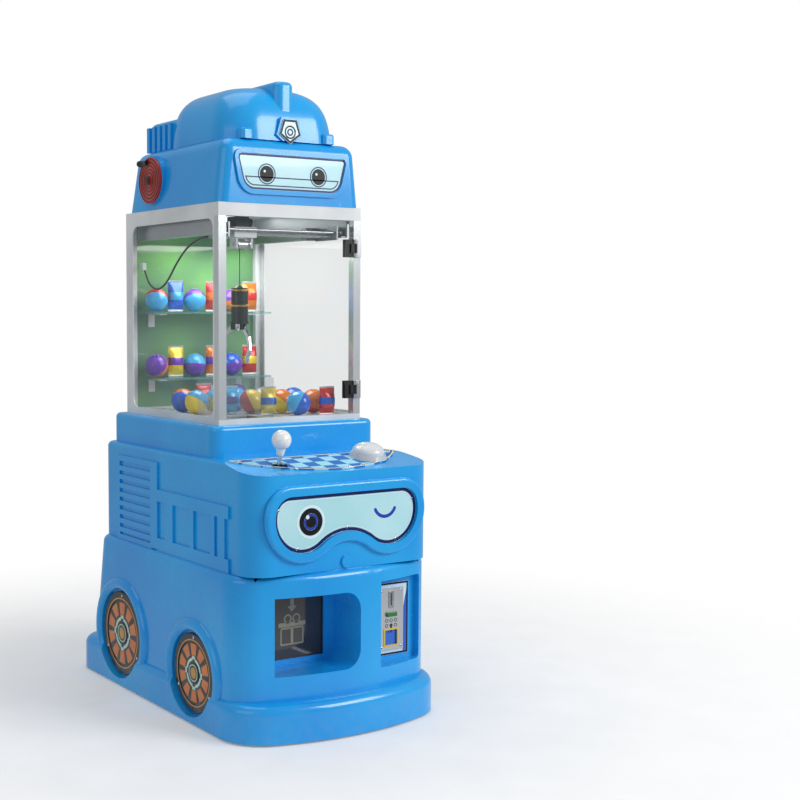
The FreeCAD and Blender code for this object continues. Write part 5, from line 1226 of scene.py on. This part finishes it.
class CRANE_OT_prizes(bpy.types.Operator):
    """Two-tone capsule balls and filled packets."""

    bl_idname = "crane.prizes"
    bl_label = "Prizes"

    def execute(self, context):
        rng = random.Random(11)
        bright = [("red", (0.62, 0.02, 0.02)), ("orange", (0.80, 0.20, 0.02)),
                  ("blue", (0.02, 0.12, 0.62)), ("cyan", (0.06, 0.42, 0.80)),
                  ("yellow", (0.85, 0.62, 0.03)), ("violet", (0.16, 0.04, 0.45)),
                  ("white", (0.85, 0.86, 0.86))]
        plain = len(bright) - 1  # the white, kept for halves and crimps
        materials = [finish("prize_" + name, colour, rough=0.18, coat=0.6, patch=26.0, relief=0.03)
                     for name, colour in bright]
        balls = bmesh.new()
        for points, _ in islands("prize_capsules"):
            low, high = box_of(points)
            middle, radius = (low + high) / 2, (high.x - low.x) / 2 * 0.985
            tones = rng.sample(range(plain), 2) if rng.random() < 0.7 else [rng.randrange(plain), plain]
            tilt = (Matrix.Rotation(rng.uniform(-0.9, 0.9), 4, "X")
                    @ Matrix.Rotation(rng.uniform(-0.9, 0.9), 4, "Y"))
            self.ball(balls, radius, Matrix.Translation(middle) @ tilt, tones)
        piece("capsule_balls", written(balls, bpy.data.meshes.new("capsules"), outwards=False),
              materials, "machine", ("prize_capsules",), smooth=50)
        packs = bmesh.new()
        for points, _ in islands("prize_packets"):
            self.packet(packs, *box_of(points), rng, plain)
        foil = [finish("foil_" + name, colour, rough=0.26, metallic=0.25, coat=0.5, patch=40.0,
                       grain=90.0, relief=0.6, ripple=2.0) for name, colour in bright]
        piece("filled_packets", written(packs, bpy.data.meshes.new("packets"), outwards=False),
              foil, "machine", ("prize_packets",), smooth=60)
        return {"FINISHED"}

    @staticmethod
    def ball(shape, radius, place, tones, steps=18, around=30):
        """One closed two-tone ball with a groove between two lips at its seam."""
        outline = []
        for k in range(steps + 1):
            turn = -math.pi / 2 + math.pi * k / steps
            seam = abs(k - steps / 2)
            reach = radius * (1.0 if seam > 1.2 else 1.012 if seam else 0.972)
            outline.append((reach * math.cos(turn), reach * math.sin(turn)))
        for k, faces in enumerate(turn_round(shape, outline, place, around)):
            for face in faces:
                face.material_index = tones[0] if k < steps / 2 else tones[1]

    @staticmethod
    def packet(shape, low, high, rng, plain, across=10, up=16):
        """A pillow packet: plump middle, flat crimped ends, a band of another colour."""
        middle, tall = (low + high) / 2, high.z - low.z
        half_x, half_y = (high.x - low.x) / 2 * 0.94, (high.y - low.y) / 2 * 0.86
        base, stripe = rng.sample(range(plain), 2)
        skew = rng.uniform(-0.25, 0.25)
        rim = []
        for side in (-1, 1):
            rows = []
            for k in range(up + 1):
                share = k / up
                plump = max(0.0, math.sin(math.pi * min(1.0, max(0.0, (share - 0.08) / 0.84)))) ** 0.55
                rows.append([])
                for n in range(across + 1):
                    s = n / across * 2 - 1
                    crimp = 0.0008 * math.cos(n * math.pi) if plump < 0.05 else 0.0
                    swell = 1 + 0.06 * math.sin(9 * share + 3 * s + skew * 9)
                    depth = side * (half_y * plump * (1 - s ** 4) ** 0.7 * swell)
                    x = s * half_x * (1 - 0.07 * plump * (1 - abs(s) ** 2))
                    rows[-1].append(shape.verts.new(Vector((
                        middle.x + x, middle.y + depth + crimp, low.z + 0.0004 + share * (tall - 0.001)))))
                    if k in (0, up) or n in (0, across):
                        rim.append(rows[-1][-1])
            for k in range(up):
                for n in range(across):
                    loop = [rows[k][n], rows[k][n + 1], rows[k + 1][n + 1], rows[k + 1][n]]
                    face = shape.faces.new(loop if side < 0 else list(reversed(loop)))
                    face.material_index = (stripe if 0.36 < (k + 0.5) / up < 0.60
                                           else plain if k in (0, up - 1) else base)
        bmesh.ops.remove_doubles(shape, verts=rim, dist=0.00005)


class CRANE_PT_panel(bpy.types.Panel):
    """Lists the machine's settings and its groups of pieces."""

    bl_idname = "CRANE_PT_panel"
    bl_label = "Claw Crane Machine"
    bl_space_type = "VIEW_3D"
    bl_region_type = "UI"
    bl_category = "Crane"

    def draw(self, context):
        for group in (context.scene.crane_colours, context.scene.crane_sizes, context.scene.crane_stage):
            column = self.layout.column(align=True)
            for name in group.__annotations__:
                column.prop(group, name)
        for kind in OPERATORS:
            self.layout.operator(kind.bl_idname)


GROUPS = (("crane_colours", CraneColours), ("crane_sizes", CraneSizes), ("crane_stage", CraneStage))
OPERATORS = (CRANE_OT_stage, CRANE_OT_cords, CRANE_OT_mouldings, CRANE_OT_screws, CRANE_OT_wheels,
             CRANE_OT_face, CRANE_OT_reels, CRANE_OT_controls, CRANE_OT_coin_entry, CRANE_OT_outlet,
             CRANE_OT_cabinet, CRANE_OT_crane, CRANE_OT_prizes)


def register():
    for name, group in GROUPS:
        bpy.utils.register_class(group)
        setattr(bpy.types.Scene, name, PointerProperty(type=group))
    for kind in (*OPERATORS, CRANE_PT_panel):
        bpy.utils.register_class(kind)


def unregister():
    for kind in (CRANE_PT_panel, *reversed(OPERATORS)):
        bpy.utils.unregister_class(kind)
    for name, group in reversed(GROUPS):
        delattr(bpy.types.Scene, name)
        bpy.utils.unregister_class(group)


def main():
    register()
    for kind in OPERATORS:
        getattr(bpy.ops.crane, kind.bl_idname.split(".")[1])()


if __name__ == "__main__":
    main()
